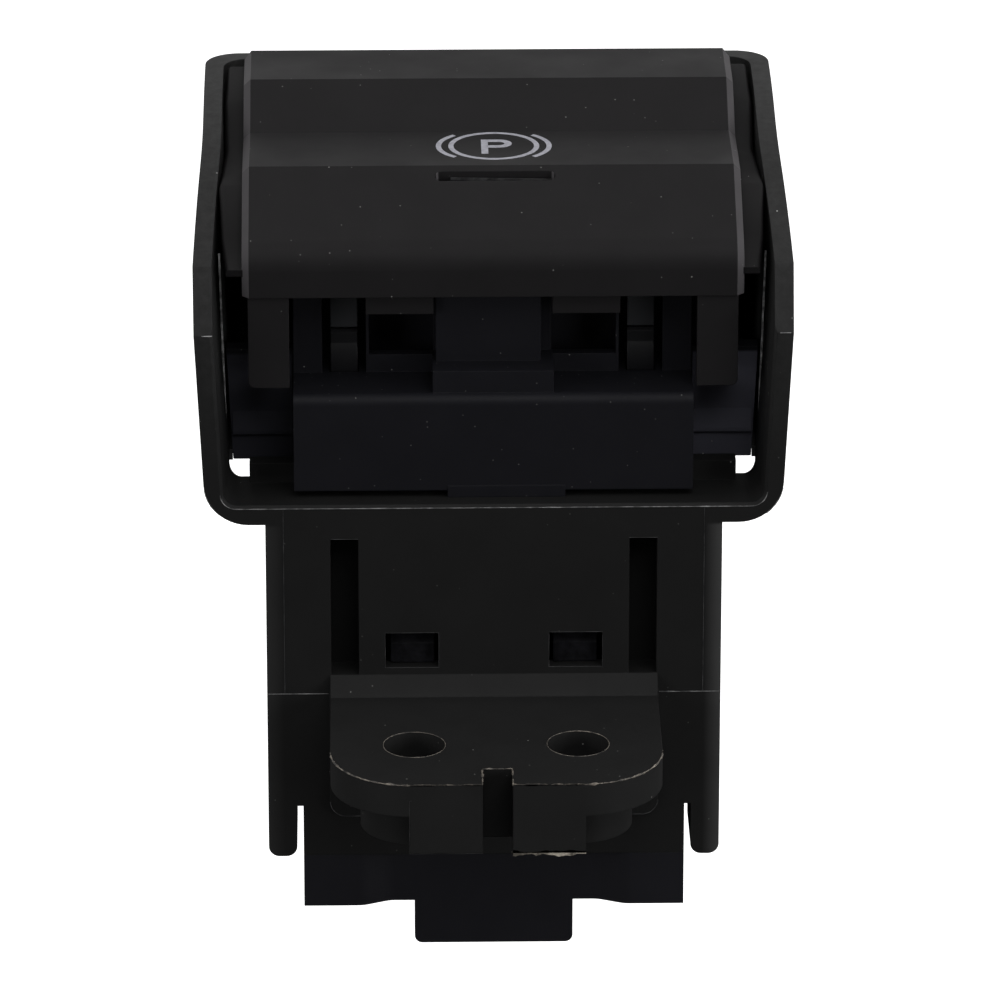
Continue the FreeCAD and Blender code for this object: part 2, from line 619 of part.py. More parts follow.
# Flange with its root bevel, root pad, bosses and key block
flange = sketch_on(housing, "XY_Plane", "-flange_thick", "flange")
rectangle(flange, "-flange_half", "flange_half",
          "-flange_reach", "bolt_to_front + wall / 2")
grow(housing, flange, "flange_thick")
flange_corners = edges_where(
    housing.Tip, lambda m, r: along(r, "z")
    and abs(m.y + value("flange_reach")) < 0.01
    and abs(abs(m.x) - value("flange_half")) < 0.01)
round_edges(housing, flange_corners, "flange_corner")
bevel = sketch_on(housing, "YZ_Plane", "-flange_half", "root_bevel")
polygon(bevel, [("bolt_to_front - root_bevel_run", "0"),
                ("bolt_to_front + wall / 2", "0"),
                ("bolt_to_front + wall / 2", "root_bevel_rise"),
                ("bolt_to_front", "root_bevel_rise")])
grow(housing, bevel, "2 * flange_half")
root = sketch_on(housing, "XZ_Plane", "-(bolt_to_front + wall / 2)", "root_pad")
rectangle(root, "-root_pad_half", "root_pad_half", "-root_pad_drop", "0")
grow(housing, root, "root_pad_proud + wall / 2")
root_corners = edges_where(housing.Tip, lambda m, r: along(r, "y")
                           and abs(m.z + value("root_pad_drop")) < 0.01)
round_edges(housing, root_corners, "2 * root_pad_proud")
key = sketch_on(housing, "XY_Plane", "-key_drop", "key_block")
rectangle(key, "-key_half", "key_half",
          "-flange_reach", "key_depth - flange_reach")
grow(housing, key, "key_drop - flange_thick / 2")
bosses = sketch_on(housing, "XY_Plane", "-boss_drop", "bosses")
circle(bosses, "bolt_spacing / 2", "0", "boss_radius")
circle(bosses, "-bolt_spacing / 2", "0", "boss_radius")
grow(housing, bosses, "boss_drop - flange_thick / 2")

# Hollow of the body and of the tub
chest = sketch_on(housing, "XY_Plane", "foot_z - 1", "chest")
rectangle(chest, "-(foot_half - wall)", "foot_half - wall",
          "bolt_to_front + wall", BODY_BACK + " - wall")
carve(housing, chest, "bezel_bottom_z - foot_z + 1")
ribs = sketch_on(housing, "XY_Plane", "body_step_z + wall", "side_bays")
rectangle(ribs, "-(body_half - wall)", "body_half - wall",
          "bolt_to_front + wall", BODY_BACK + " - wall")
carve(housing, ribs, "bezel_bottom_z - body_step_z - wall")
throat = sketch_on(housing, "XY_Plane", "bezel_bottom_z - 0.5", "throat")
rectangle(throat, "-(body_half - wall)", "body_half - wall",
          "bolt_to_front + bezel_floor_depth + wall", BODY_BACK + " - wall")
carve(housing, throat, "bezel_floor + 1")
bay = sketch_on(housing, "XY_Plane", FLOOR_Z, "tub_bay")
rectangle(bay, "-(tub_half - wall)", "tub_half - wall",
          "bolt_to_front + bezel_floor_depth + wall",
          BEZEL_BACK + " - back_wall")
carve(housing, bay, "shelf_z - bezel_bottom_z")
brim = sketch_on(housing, "YZ_Plane", "-(tub_half + 0.05)", "tub_brim")
polygon(brim, [
    ("bolt_to_front + bezel_floor_depth - 0.5", "tub_front_z"),
    ("bolt_to_front + bezel_floor_depth + wall", "tub_front_z"),
    ("bolt_to_front + bezel_floor_depth + wall", "tub_side_z"),
    ("bolt_to_front + bezel_floor_depth + tub_notch_depth", "tub_side_z"),
    ("bolt_to_front + bezel_floor_depth + tub_notch_depth", "shelf_z + 0.5"),
    ("bolt_to_front + bezel_floor_depth - 0.5", "shelf_z + 0.5")])
carve(housing, brim, "2 * (tub_half + 0.05)")

# Blind slots and latch windows in the front wall, notch and bolt holes
boxes = sketch_on(housing, "XZ_Plane", "-(bolt_to_front + wall / 2)",
                  "slot_boxes")
pair(boxes, "slot_in - slot_skin", "slot_out + slot_skin",
     "root_bevel_rise - slot_skin", "slot_top_z + slot_skin")
grow(housing, boxes, "slot_depth + slot_skin - wall / 2", backward=True)
front = sketch_on(housing, "XZ_Plane", "-(bolt_to_front - 0.01)", "slots")
pair(front, "slot_in", "slot_out", "root_bevel_rise", "slot_top_z")
carve(housing, front, "slot_depth", backward=True)
front = sketch_on(housing, "XZ_Plane", "-(bolt_to_front - 0.01)", "windows")
pair(front, "window_in", "window_out", "window_bottom_z", "window_top_z")
carve(housing, front, "wall + 0.5", backward=True)
notch = sketch_on(housing, "XY_Plane", "-key_drop - 0.5", "notch")
rectangle(notch, "-notch_half", "notch_half",
          "-flange_reach - 0.5", "notch_depth - flange_reach")
carve(housing, notch, "key_drop + 1")
holes = sketch_on(housing, "XY_Plane", "-boss_drop - 0.5", "bolt_holes")
circle(holes, "bolt_spacing / 2", "0", "bolt_hole_radius")
circle(holes, "-bolt_spacing / 2", "0", "bolt_hole_radius")
carve(housing, holes, "boss_drop + 1")

# Bosses on the back wall that carry the circuit board
stems = sketch_on(housing, "XZ_Plane", "-(%s)" % BOARD_BACK, "board_bosses")
circle(stems, "screw_x", "screw_z", "screw_boss_radius")
circle(stems, "-screw_x", "screw_z", "screw_boss_radius")
grow(housing, stems, "body_depth - board_setback - board_thick - wall / 2",
     backward=True)
threads = sketch_on(housing, "XZ_Plane", "-(%s - 0.5)" % BOARD_BACK,
                    "board_boss_holes")
circle(threads, "screw_x", "screw_z", "screw_radius + screw_seat")
circle(threads, "-screw_x", "screw_z", "screw_radius + screw_seat")
carve(housing, threads, "screw_length + 0.5", backward=True)

# Inner frame: box, deck, tower, guides, wings and axle ears
frame = new_body("inner_frame")
base = sketch_on(frame, "XY_Plane", "shelf_z", "base_plate")
rectangle(base, "-base_half", "base_half", WING_Y,
          BEZEL_BACK + " - back_wall - bezel_back_corner")
grow(frame, base, "base_thick")
wings = sketch_on(frame, "XZ_Plane", "-" + WING_Y, "wings")
wing_low = (half_at("wing_bottom_z", "wing_tuck")
            + " - cheek_wall - wing_gap")
wing_high = (half_at("wing_top_z", "wing_tuck")
             + " - cheek_wall - wing_gap")
polygon(wings, [("-(%s)" % wing_low, "wing_bottom_z"),
                (wing_low, "wing_bottom_z"),
                (wing_high, "wing_top_z"),
                ("-(%s)" % wing_high, "wing_top_z")])
grow(frame, wings, "wing_thick", backward=True)
corners = edges_where(frame.Tip, lambda m, r: along(r, "y")
                      and abs(m.z - value("wing_bottom_z")) < 0.01)
round_edges(frame, corners, "wing_corner")
ridge = sketch_on(frame, "YZ_Plane", "-(%s)" % wing_low, "ridge")
polygon(ridge, [(WING_Y + " + 0.3", "ridge_z - ridge_proud"),
                (WING_Y + " + 0.3", "ridge_z + 5 * ridge_proud"),
                (WING_Y, "ridge_z + 5 * ridge_proud"),
                (WING_Y + " - ridge_proud", "ridge_z"),
                (WING_Y + " - ridge_proud", "ridge_z - ridge_proud")])
grow(frame, ridge, "2 * (%s)" % wing_low)

chest = sketch_on(frame, "XY_Plane", "box_bottom_z", "front_box")
rectangle(chest, "-box_half", "box_half", BOX_Y, WING_Y + " + wing_thick")
grow(frame, chest, "deck_z - box_bottom_z")
brow = edges_where(frame.Tip, lambda m, r: along(r, "x")
                   and abs(m.y - value(BOX_Y)) < 0.01
                   and abs(m.z - value("deck_z")) < 0.01)
round_edges(frame, brow, "box_edge")
cavity = sketch_on(frame, "XY_Plane", "box_bottom_z - 1", "box_cavity")
rectangle(cavity, "-(box_half - box_wall)", "box_half - box_wall",
          BOX_Y + " + box_wall", GUIDE_Y)
carve(frame, cavity, "deck_z - box_bottom_z - box_wall + 1")
saddle = sketch_on(frame, "YZ_Plane", "-(box_half + 0.05)", "box_saddle")
rectangle(saddle, "bolt_to_front + bezel_floor_depth - wing_gap",
          "bolt_to_front + bezel_floor_depth + wall + wing_gap",
          "box_bottom_z - 1", "tub_front_z + wing_gap")
carve(frame, saddle, "2 * (box_half + 0.05)")
toe = sketch_on(frame, "XY_Plane", FLOOR_Z, "box_foot")
rectangle(toe, "-foot_pad_left", "foot_pad_right",
          BOX_Y + " - 0.1", BOX_Y + " + box_wall")
grow(frame, toe, "box_bottom_z - %s + 0.5" % FLOOR_Z)

guide = sketch_on(frame, "XY_Plane", "shelf_z", "guide_block")
rectangle(guide, "-box_half", "box_half", GUIDE_Y, GUIDE_BACK)
grow(frame, guide, "guide_top_z - shelf_z")
recess = sketch_on(frame, "XY_Plane", "deck_z", "window_recess")
pair(recess, "recess_in", "recess_out", GUIDE_Y + " - 0.5",
     GUIDE_Y + " + recess_depth")
carve(frame, recess, "guide_top_z - deck_z + 1")
sill = sketch_on(frame, "XY_Plane", "deck_z - 0.2", "sills")
pair(sill, "recess_in", "recess_out", GUIDE_Y, GUIDE_Y + " + sill_depth")
grow(frame, sill, "sill_z - deck_z + 0.2")
raised = sketch_on(frame, "XY_Plane", "deck_z - 0.2", "raised_block")
rectangle(raised, "-block_half", "block_half", BOX_Y + " + block_gap",
          GUIDE_Y)
grow(frame, raised, "block_top_z - deck_z + 0.2")
tower = sketch_on(frame, "XY_Plane", "block_top_z - 0.2", "tower")
rectangle(tower, "-tower_left", "tower_right",
          "bolt_to_front + tower_setback", GUIDE_Y + " + 0.1")
grow(frame, tower, "tower_top_z - block_top_z + 0.2")
channel = sketch_on(frame, "XY_Plane", "deck_z", "slider_channels")
pair(channel, "slider_x - channel_half", "slider_x + channel_half",
     GUIDE_Y + " - 0.5", SLIDER_BACK + " + channel_play")
carve(frame, channel, "guide_top_z - deck_z + 1")
bore = sketch_on(frame, "XY_Plane", "box_bottom_z - 1", "slider_bores")
pair(bore, "slider_x - slider_half - slide_clearance",
     "slider_x + slider_half + slide_clearance",
     SLIDER_Y + " - slider_belly - slide_clearance",
     SLIDER_BACK + " + slide_clearance")
carve(frame, bore, "deck_z - box_bottom_z + 2")

# Axle ears and the lamp platform behind the guides
ears = sketch_on(frame, "YZ_Plane", EAR_IN, "ear_right")
polygon(ears, [
    (HINGE_Y + " + ear_half_depth", "shelf_z + base_thick / 2"),
    (HINGE_Y + " + ear_half_depth", "hinge_z"),
    (HINGE_Y + " - ear_half_depth", "hinge_z"),
    (HINGE_Y + " - ear_half_depth", "shelf_z + base_thick / 2")],
    {1: ("ear_half_depth + 0.001", 1)})
grow(frame, ears, "ear_thick")
ears = sketch_on(frame, "YZ_Plane", "-(%s)" % EAR_OUT, "ear_left")
polygon(ears, [
    (HINGE_Y + " + ear_half_depth", "shelf_z + base_thick / 2"),
    (HINGE_Y + " + ear_half_depth", "hinge_z"),
    (HINGE_Y + " - ear_half_depth", "hinge_z"),
    (HINGE_Y + " - ear_half_depth", "shelf_z + base_thick / 2")],
    {1: ("ear_half_depth + 0.001", 1)})
grow(frame, ears, "ear_thick")
bore = sketch_on(frame, "YZ_Plane", "-(%s + 1)" % EAR_OUT, "axle_bore")
circle(bore, HINGE_Y, "hinge_z", "axle_radius + axle_seat")
carve(frame, bore, "2 * (%s + 1)" % EAR_OUT)
stage = sketch_on(frame, "XY_Plane", "shelf_z + base_thick / 2", "platform")
rectangle(stage, "-platform_half", "platform_half", GUIDE_BACK + " - 0.2",
          GUIDE_BACK + " + platform_depth")
grow(frame, stage, "platform_z - shelf_z - base_thick / 2")
under = sketch_on(frame, "XY_Plane", "shelf_z - 0.5", "platform_hollow")
rectangle(under, "-(platform_half - box_wall)", "platform_half - box_wall",
          GUIDE_BACK, GUIDE_BACK + " + platform_depth - box_wall")
carve(frame, under, "platform_z - shelf_z - box_wall + 0.5")
way = sketch_on(frame, "XY_Plane", "platform_z - box_wall - 1", "ribbon_way")
rectangle(way, "-(ribbon_half + 0.4)", "ribbon_half + 0.4",
          RIBBON_Y + " - 0.25", BOARD_Y + " + 0.25")
carve(frame, way, "box_wall + 2")

# Connector cover: skirt, plug-in plate, socket, latch arms and spring columns
cover = new_body("connector_cover")
skirt = sketch_on(cover, "XY_Plane", "cover_bottom_z", "skirt")
polygon(skirt, [
    ("-foot_half", "bolt_to_front"),
    ("-dip_out", "bolt_to_front"),
    ("-dip_in", "bolt_to_front + cover_dip"),
    ("dip_in", "bolt_to_front + cover_dip"),
    ("dip_out", "bolt_to_front"),
    ("foot_half", "bolt_to_front"),
    ("foot_half", BODY_BACK),
    ("-foot_half", BODY_BACK)])
grow(cover, skirt, "foot_z - cover_bottom_z")
folds = edges_where(cover.Tip, lambda m, r: along(r, "z")
                    and m.y < value("bolt_to_front + cover_dip + 0.1")
                    and abs(m.x) < value("dip_out + 0.1"))
round_edges(cover, folds, "dip_radius")
plug = sketch_on(cover, "XY_Plane", "foot_z - 0.5", "plug_plate")
rectangle(plug, "-(foot_half - wall - cover_fit)",
          "foot_half - wall - cover_fit",
          "bolt_to_front + wall + cover_fit",
          BODY_BACK + " - wall - cover_fit")
grow(cover, plug, "cover_plate + 0.5")
void = sketch_on(cover, "XY_Plane", "cover_bottom_z - 1", "skirt_void")
rectangle(void, "-(foot_half - cover_wall)", "foot_half - cover_wall",
          "bolt_to_front + cover_dip + cover_wall",
          BODY_BACK + " - cover_wall")
carve(cover, void, "foot_z - cover_bottom_z + 1")
shroud = sketch_on(cover, "XY_Plane", "cover_bottom_z", "socket")
rectangle(shroud, "-(socket_half + socket_wall)", "socket_half + socket_wall",
          "bolt_to_front + socket_setback - socket_wall",
          "bolt_to_front + socket_setback + socket_depth + socket_wall")
grow(cover, shroud, "foot_z - cover_bottom_z + 0.2")
mouth = sketch_on(cover, "XY_Plane", "cover_bottom_z - 1", "socket_mouth")
rectangle(mouth, "-socket_half", "socket_half",
          "bolt_to_front + socket_setback",
          "bolt_to_front + socket_setback + socket_depth")
carve(cover, mouth, "foot_z - cover_bottom_z + 1")
tongue = sketch_on(cover, "XZ_Plane",
                   "-(bolt_to_front + cover_dip + cover_wall)", "tongue")
rectangle(tongue, "-tongue_half", "tongue_half", "tongue_bottom_z",
          "cover_bottom_z + 1")
grow(cover, tongue, "cover_wall")
tips = edges_where(cover.Tip, lambda m, r: along(r, "y")
                   and abs(m.z - value("tongue_bottom_z")) < 0.01)
round_edges(cover, tips, "tongue_corner")
window = sketch_on(cover, "XY_Plane", "foot_z - 1", "pin_window")
rectangle(window, "-(3 * pin_pitch)", "3 * pin_pitch",
          BOARD_Y + " - 4 * pin_half", BOARD_BACK + " + 4 * pin_half")
carve(cover, window, "cover_plate + 2")
ARM_Y = "(bolt_to_front + wall + arm_gap)"
arms = sketch_on(cover, "YZ_Plane", "arm_in", "arm_right")
polygon(arms, [
    (ARM_Y, COVER_TOP + " - 0.5"),
    (ARM_Y + " + arm_thick", COVER_TOP + " - 0.5"),
    (ARM_Y + " + arm_thick", "hook_high_z"),
    (ARM_Y, "hook_high_z"),
    (ARM_Y + " - arm_gap - hook_bite", "hook_high_z - arm_gap - hook_bite"),
    (ARM_Y + " - arm_gap - hook_bite", "hook_low_z"),
    (ARM_Y, "hook_low_z")])
grow(cover, arms, "arm_out - arm_in")
arms = sketch_on(cover, "YZ_Plane", "-arm_out", "arm_left")
polygon(arms, [
    (ARM_Y, COVER_TOP + " - 0.5"),
    (ARM_Y + " + arm_thick", COVER_TOP + " - 0.5"),
    (ARM_Y + " + arm_thick", "hook_high_z"),
    (ARM_Y, "hook_high_z"),
    (ARM_Y + " - arm_gap - hook_bite", "hook_high_z - arm_gap - hook_bite"),
    (ARM_Y + " - arm_gap - hook_bite", "hook_low_z"),
    (ARM_Y, "hook_low_z")])
grow(cover, arms, "arm_out - arm_in")
columns = sketch_on(cover, "XY_Plane", COVER_TOP + " - 0.5", "columns")
pair(columns, "slider_x - column_half", "slider_x + column_half",
     SLIDER_MID + " - column_half", SLIDER_MID + " + column_half")
grow(cover, columns, "spring_bottom_z - %s + 0.5" % COVER_TOP)
spigots = sketch_on(cover, "XY_Plane", "spring_bottom_z - 0.5", "spigots")
circle(spigots, "slider_x", SLIDER_MID, "spigot_radius")
circle(spigots, "-slider_x", SLIDER_MID, "spigot_radius")
grow(cover, spigots, "spigot_length + 0.5")

# Paddle cap: faceted profile with a rounded lip, hollow below
cap = new_body("paddle_cap")
BROW_Z = ("(symbol_front_z - (%s - %s) * tan(brow_slope * 1deg))"
          % (SYMBOL_Y, LIP_Y))
profile = sketch_on(cap, "YZ_Plane", "-paddle_half", "cap_profile")
polygon(profile, [
    (LIP_Y, "lip_z"),
    (TAIL_Y, "lip_z"),
    (TAIL_Y, "crest_z"),
    (CREST_Y, "crest_z"),
    (STEP_Y, "symbol_back_z"),
    (SYMBOL_Y, "symbol_front_z"),
    (LIP_Y, BROW_Z)])
grow(cap, profile, "2 * paddle_half")
lip = edges_where(cap.Tip, lambda m, r: along(r, "x")
                  and abs(m.y - value(LIP_Y)) < 0.01
                  and abs(m.z - value(BROW_Z)) < 0.01)
round_edges(cap, lip, "lip_radius")
rims = edges_where(cap.Tip, lambda m, r: abs(r.x) < 0.001
                   and abs(abs(m.x) - value("paddle_half")) < 0.01
                   and m.z > value("lip_z + 0.1"))
bevel_edges(cap, rims, "cap_bevel")
IN_SHIFT = "cap_wall * tan(brow_slope * 1deg / 2)"
inside = sketch_on(cap, "YZ_Plane", "-(paddle_half - cap_wall)", "cap_inside")
polygon(inside, [
    (LIP_Y + " + cap_wall", "lip_z - 1"),
    (TAIL_Y + " - cap_wall", "lip_z - 1"),
    (TAIL_Y + " - cap_wall", "crest_z - cap_wall"),
    (CREST_Y + " + " + IN_SHIFT, "crest_z - cap_wall"),
    (STEP_Y + " + " + IN_SHIFT, "symbol_back_z - cap_wall"),
    (SYMBOL_Y + " + " + IN_SHIFT, "symbol_front_z - cap_wall"),
    (LIP_Y + " + cap_wall",
     BROW_Z + " - cap_wall + (cap_wall - %s) * tan(brow_slope * 1deg)"
     % IN_SHIFT)])
carve(cap, inside, "2 * (paddle_half - cap_wall)")
inner_lip = edges_where(cap.Tip, lambda m, r: along(r, "x")
                        and abs(m.y - value(LIP_Y + " + cap_wall")) < 0.01
                        and m.z > value("lip_z + 0.5"))
round_edges(cap, inner_lip, "lip_radius - cap_wall")
lobes = sketch_on(cap, "XY_Plane", "lobe_bottom_z", "lobes")
LOBE_Y = LIP_Y + " + lobe_inset"
for sign in ("", "-"):
    polygon(lobes, [
        (sign + "(lobe_in)", LOBE_Y),
        (sign + "(lobe_out)", LOBE_Y),
        (sign + "(lobe_out)", LOBE_Y + " + lobe_depth"),
        (sign + "(lobe_out - cap_wall)", LOBE_Y + " + lobe_depth"),
        (sign + "(lobe_out - cap_wall)", LOBE_Y + " + cap_wall"),
        (sign + "(lobe_in)", LOBE_Y + " + cap_wall")])
grow(cap, lobes, "lip_z - lobe_bottom_z + 1")
tips = edges_where(cap.Tip, lambda m, r: along(r, "y")
                   and abs(m.z - value("lobe_bottom_z")) < 0.01
                   and abs(abs(m.x) - value("lobe_out")) < 0.01)
round_edges(cap, tips, "cap_bevel")
tabs = sketch_on(cap, "XY_Plane", "tab_bottom_z", "lip_tabs")
pair(tabs, "tab_in", "tab_out", LIP_Y + " + cap_wall - 0.2",
     LIP_Y + " + cap_wall + tab_depth")
grow(cap, tabs, "lip_z - tab_bottom_z + 2")
RIB = "(cap_rib_x - cap_rib_thick / 2)"
for name, start in (("rib_right", RIB), ("rib_left", "-(%s + cap_rib_thick)" % RIB)):
    rib = sketch_on(cap, "YZ_Plane", start, name)
    polygon(rib, [
        (SYMBOL_Y + " - 2", PLATE_TOP),
        (STEP_Y + " - 0.5", PLATE_TOP),
        (STEP_Y + " - 0.5", "symbol_back_z - cap_wall / 2"),
        (SYMBOL_Y, "symbol_back_z - cap_wall / 2"),
        (SYMBOL_Y + " - 2", "symbol_back_z - cap_wall / 2 - 1.2")])
    grow(cap, rib, "cap_rib_thick")
LAMP_Y = "(%s - lamp_slot_back)" % SYMBOL_Y
slot = sketch_on(cap, "XY_Plane", "symbol_front_z - 5", "lamp_slot")
STRAIGHT = "(lamp_slot_half - lamp_slot_radius)"
SLOT_LEFT = "lamp_slot_shift - " + STRAIGHT
SLOT_RIGHT = "lamp_slot_shift + " + STRAIGHT
polygon(slot, [
    (SLOT_LEFT, LAMP_Y + " - lamp_slot_radius"),
    (SLOT_RIGHT, LAMP_Y + " - lamp_slot_radius"),
    (SLOT_RIGHT, LAMP_Y + " + lamp_slot_radius"),
    (SLOT_LEFT, LAMP_Y + " + lamp_slot_radius")],
    {1: ("lamp_slot_radius + 0.0001", 1), 3: ("lamp_slot_radius + 0.0001", 1)})
carve(cap, slot, "6")

# Lever: plate under the cap with hubs on the axle and two pushers
lever = new_body("paddle_lever")
plate = sketch_on(lever, "XY_Plane", PLATE_Z, "plate")
polygon(plate, [
    ("-lever_half", "bolt_to_front + lever_front"),
    ("lever_half", "bolt_to_front + lever_front"),
    ("lever_half", HINGE_Y),
    ("lever_half - hub_width", HINGE_Y),
    ("lever_half - hub_width", "bolt_to_front + lever_back"),
    ("-(lever_half - hub_width)", "bolt_to_front + lever_back"),
    ("-(lever_half - hub_width)", HINGE_Y),
    ("-lever_half", HINGE_Y)])
grow(lever, plate, "lever_thick")
for name, start in (("hub_right", "lever_half - hub_width"),
                    ("hub_left", "-lever_half")):
    hub = sketch_on(lever, "YZ_Plane", start, name)
    circle(hub, HINGE_Y, "hinge_z", "hub_radius")
    grow(lever, hub, "hub_width")
bore = sketch_on(lever, "YZ_Plane", "-(lever_half + 1)", "lever_bore")
circle(bore, HINGE_Y, "hinge_z", "axle_radius + axle_clearance")
carve(lever, bore, "2 * (lever_half + 1)")
pushers = sketch_on(lever, "XY_Plane", "slider_top_z + pusher_gap", "pushers")
pair(pushers, "slider_x - slider_half", "slider_x + slider_half",
     SLIDER_Y, SLIDER_BACK)
grow(lever, pushers, PLATE_Z + " - slider_top_z - pusher_gap + 0.5")
hole = sketch_on(lever, "XY_Plane", PLATE_Z + " - 0.5", "lamp_hole")
rectangle(hole, "-lamp_hole_half", "lamp_hole_half",
          "bolt_to_front + lamp_hole_front",
          "bolt_to_front + lamp_hole_front + lamp_hole_depth")
carve(lever, hole, "lever_thick + 1")

# Axle, held by the ears of the inner frame
axle = doc.addObject("Part::Cylinder", "pivot_axle")
axle.Label = "pivot_axle"
axle.setExpression("Radius", bound("axle_radius"))
axle.setExpression("Height", bound("2 * %s" % EAR_OUT))
axle.Placement = FreeCAD.Placement(
    FreeCAD.Vector(0, 0, 0),
    FreeCAD.Rotation(FreeCAD.Vector(0, 1, 0), 90))
axle.setExpression(".Placement.Base.x", bound("-%s" % EAR_OUT))
axle.setExpression(".Placement.Base.y", bound(HINGE_Y))
axle.setExpression(".Placement.Base.z", bound("hinge_z"))

# Sliders: a bellied head in the deck, a stem and a spring spigot
for side, sign in (("left", "-"), ("right", "")):
    slider = new_body("slider_" + side)
    start = sign + "slider_x - slider_half"
    stem = sketch_on(slider, "YZ_Plane", start, "slider_stem_" + side)
    polygon(stem, [
        (SLIDER_Y, "slider_bottom_z"),
        (SLIDER_BACK, "slider_bottom_z"),
        (SLIDER_BACK, "slider_top_z"),
        (SLIDER_Y + " + 0.3", "slider_top_z"),
        (SLIDER_Y, "slider_top_z - 0.3"),
        (SLIDER_Y, "slider_top_z - 1.4"),
        (SLIDER_Y, "deck_z - 1.2")],
        {5: ("slider_belly_radius", 1)})
    grow(slider, stem, "2 * slider_half")
    spigot = sketch_on(slider, "XY_Plane",
                       "slider_bottom_z - spigot_length",
                       "slider_spigot_" + side)
    circle(spigot, sign + "slider_x", SLIDER_MID, "spigot_radius")
    grow(slider, spigot, "spigot_length + 0.5")

    # Contact wiper: a bent strip behind the slider that rides the board
    wiper = new_body("contact_wiper_" + side)
    strip = sketch_on(wiper, "YZ_Plane", sign + "slider_x - wiper_half",
                      "wiper_strip_" + side)
    TIP = BOARD_Y + " - contact_gap"
    polygon(strip, [
        (SLIDER_BACK, "wiper_z + wiper_reach"),
        (SLIDER_BACK + " + wiper_strip", "wiper_z + wiper_reach"),
        (TIP, "wiper_z + 0.4"),
        (TIP, "wiper_z - 0.4"),
        (SLIDER_BACK + " + wiper_strip", "wiper_z - wiper_reach"),
        (SLIDER_BACK, "wiper_z - wiper_reach"),
        (TIP + " - wiper_strip", "wiper_z - 0.3"),
        (TIP + " - wiper_strip", "wiper_z + 0.3")])
    grow(wiper, strip, "2 * wiper_half")

    # Rubber stop on the guide block, under the lever
    block("rubber_stop_" + side,
          sign + "pad_x - pad_half", sign + "pad_x + pad_half",
          GUIDE_Y + " + recess_depth", GUIDE_BACK,
          "guide_top_z", "guide_top_z + pad_thick")

# Circuit board with its chip, screws and pins
board = new_body("circuit_board")
sheet_face = sketch_on(board, "XZ_Plane", "-" + BOARD_BACK, "board_outline")
polygon(sheet_face, [
    ("-board_foot_half", "board_bottom_z"),
    ("board_foot_half", "board_bottom_z"),
    ("board_foot_half", "board_foot_z"),
    ("board_half", "board_foot_z"),
    ("board_half", "board_top_z"),
    ("-board_half", "board_top_z"),
    ("-board_half", "board_foot_z"),
    ("-board_foot_half", "board_foot_z")])
circle(sheet_face, "screw_x", "screw_z", "screw_radius + screw_seat")
circle(sheet_face, "-screw_x", "screw_z", "screw_radius + screw_seat")
grow(board, sheet_face, "board_thick")
block("control_chip", "-chip_half", "chip_half", BOARD_BACK,
      BOARD_BACK + " + chip_thick", "chip_z - chip_half", "chip_z + chip_half")
screws = new_body("board_screws")
for side, sign in (("left", "-"), ("right", "")):
    turned = screws.newObject("Sketcher::SketchObject", "screw_profile_" + side)
    plane = [f for f in screws.Origin.OriginFeatures
             if f.Role == "YZ_Plane"][0]
    turned.AttachmentSupport = [(plane, "")]
    turned.MapMode = "FlatFace"
    turned.setExpression(".AttachmentOffset.Base.z", bound(sign + "screw_x"))
    polygon(turned, [
        (BOARD_Y + " - screw_head", "screw_z"),
        (BOARD_Y + " - screw_head + screw_length", "screw_z"),
        (BOARD_Y + " - screw_head + screw_length", "screw_z + screw_radius"),
        (BOARD_Y, "screw_z + screw_radius"),
        (BOARD_Y, "screw_z + screw_head_radius"),
        (BOARD_Y + " - screw_head", "screw_z + screw_head_radius")])
    spin = screws.newObject("PartDesign::Revolution", "screw_" + side)
    spin.Profile = turned
    spin.ReferenceAxis = (turned, ["Edge1"])
    spin.Angle = 360
    doc.recompute()
HEADER_Y = "(bolt_to_front + board_setback + board_thick / 2)"
PINS_IN_ROW = 6


def pin_rows(sketch):
    """Draw the two rows of square pins, one on each face of the board."""
    for number in range(PINS_IN_ROW):
        middle = "(%d - (%d - 1) / 2) * pin_pitch" % (number, PINS_IN_ROW)
        rectangle(sketch, middle + " - pin_half", middle + " + pin_half",
                  BOARD_Y + " - 2 * pin_half", BOARD_Y)
        rectangle(sketch, middle + " - pin_half", middle + " + pin_half",
                  BOARD_BACK, BOARD_BACK + " + 2 * pin_half")


header = new_body("pin_header")
strip = sketch_on(header, "XY_Plane", COVER_TOP, "header_block")
rectangle(strip, "-header_half", "header_half",
          HEADER_Y + " - header_half_depth", HEADER_Y + " + header_half_depth")
pin_rows(strip)
grow(header, strip, "board_bottom_z - %s" % COVER_TOP)
pins = new_body("contact_pins")
rows = sketch_on(pins, "XY_Plane", "pin_tip_z", "pin_rows")
pin_rows(rows)
grow(pins, rows, "pin_top_z - pin_tip_z")

# Lamps, ribbon, light guide and indicator lens
block("lamp_board", "-lamp_board_half", "lamp_board_half",
      RIBBON_Y, RIBBON_Y + " + lamp_board_depth",
      "platform_z", "platform_z + lamp_board_thick")
LAMP_MID = "(%s + lamp_board_depth / 2)" % RIBBON_Y
for name, shift in (("indicator_lamp", "- lamp_spread / 2"),
                    ("symbol_lamp", "+ lamp_spread / 2")):
    middle = LAMP_MID + shift
    block(name, "-lamp_half", "lamp_half", middle + " - lamp_half",
          middle + " + lamp_half", LAMP_Z, LAMP_Z + " + lamp_height")
block("lamp_ribbon", "-ribbon_half", "ribbon_half", RIBBON_Y, BOARD_Y,
      "ribbon_low_z", "platform_z")
light = new_body("light_guide")
prism = sketch_on(light, "YZ_Plane", "-guide_half", "prism")
UNDER_BACK = "symbol_back_z - cap_wall - guide_gap"
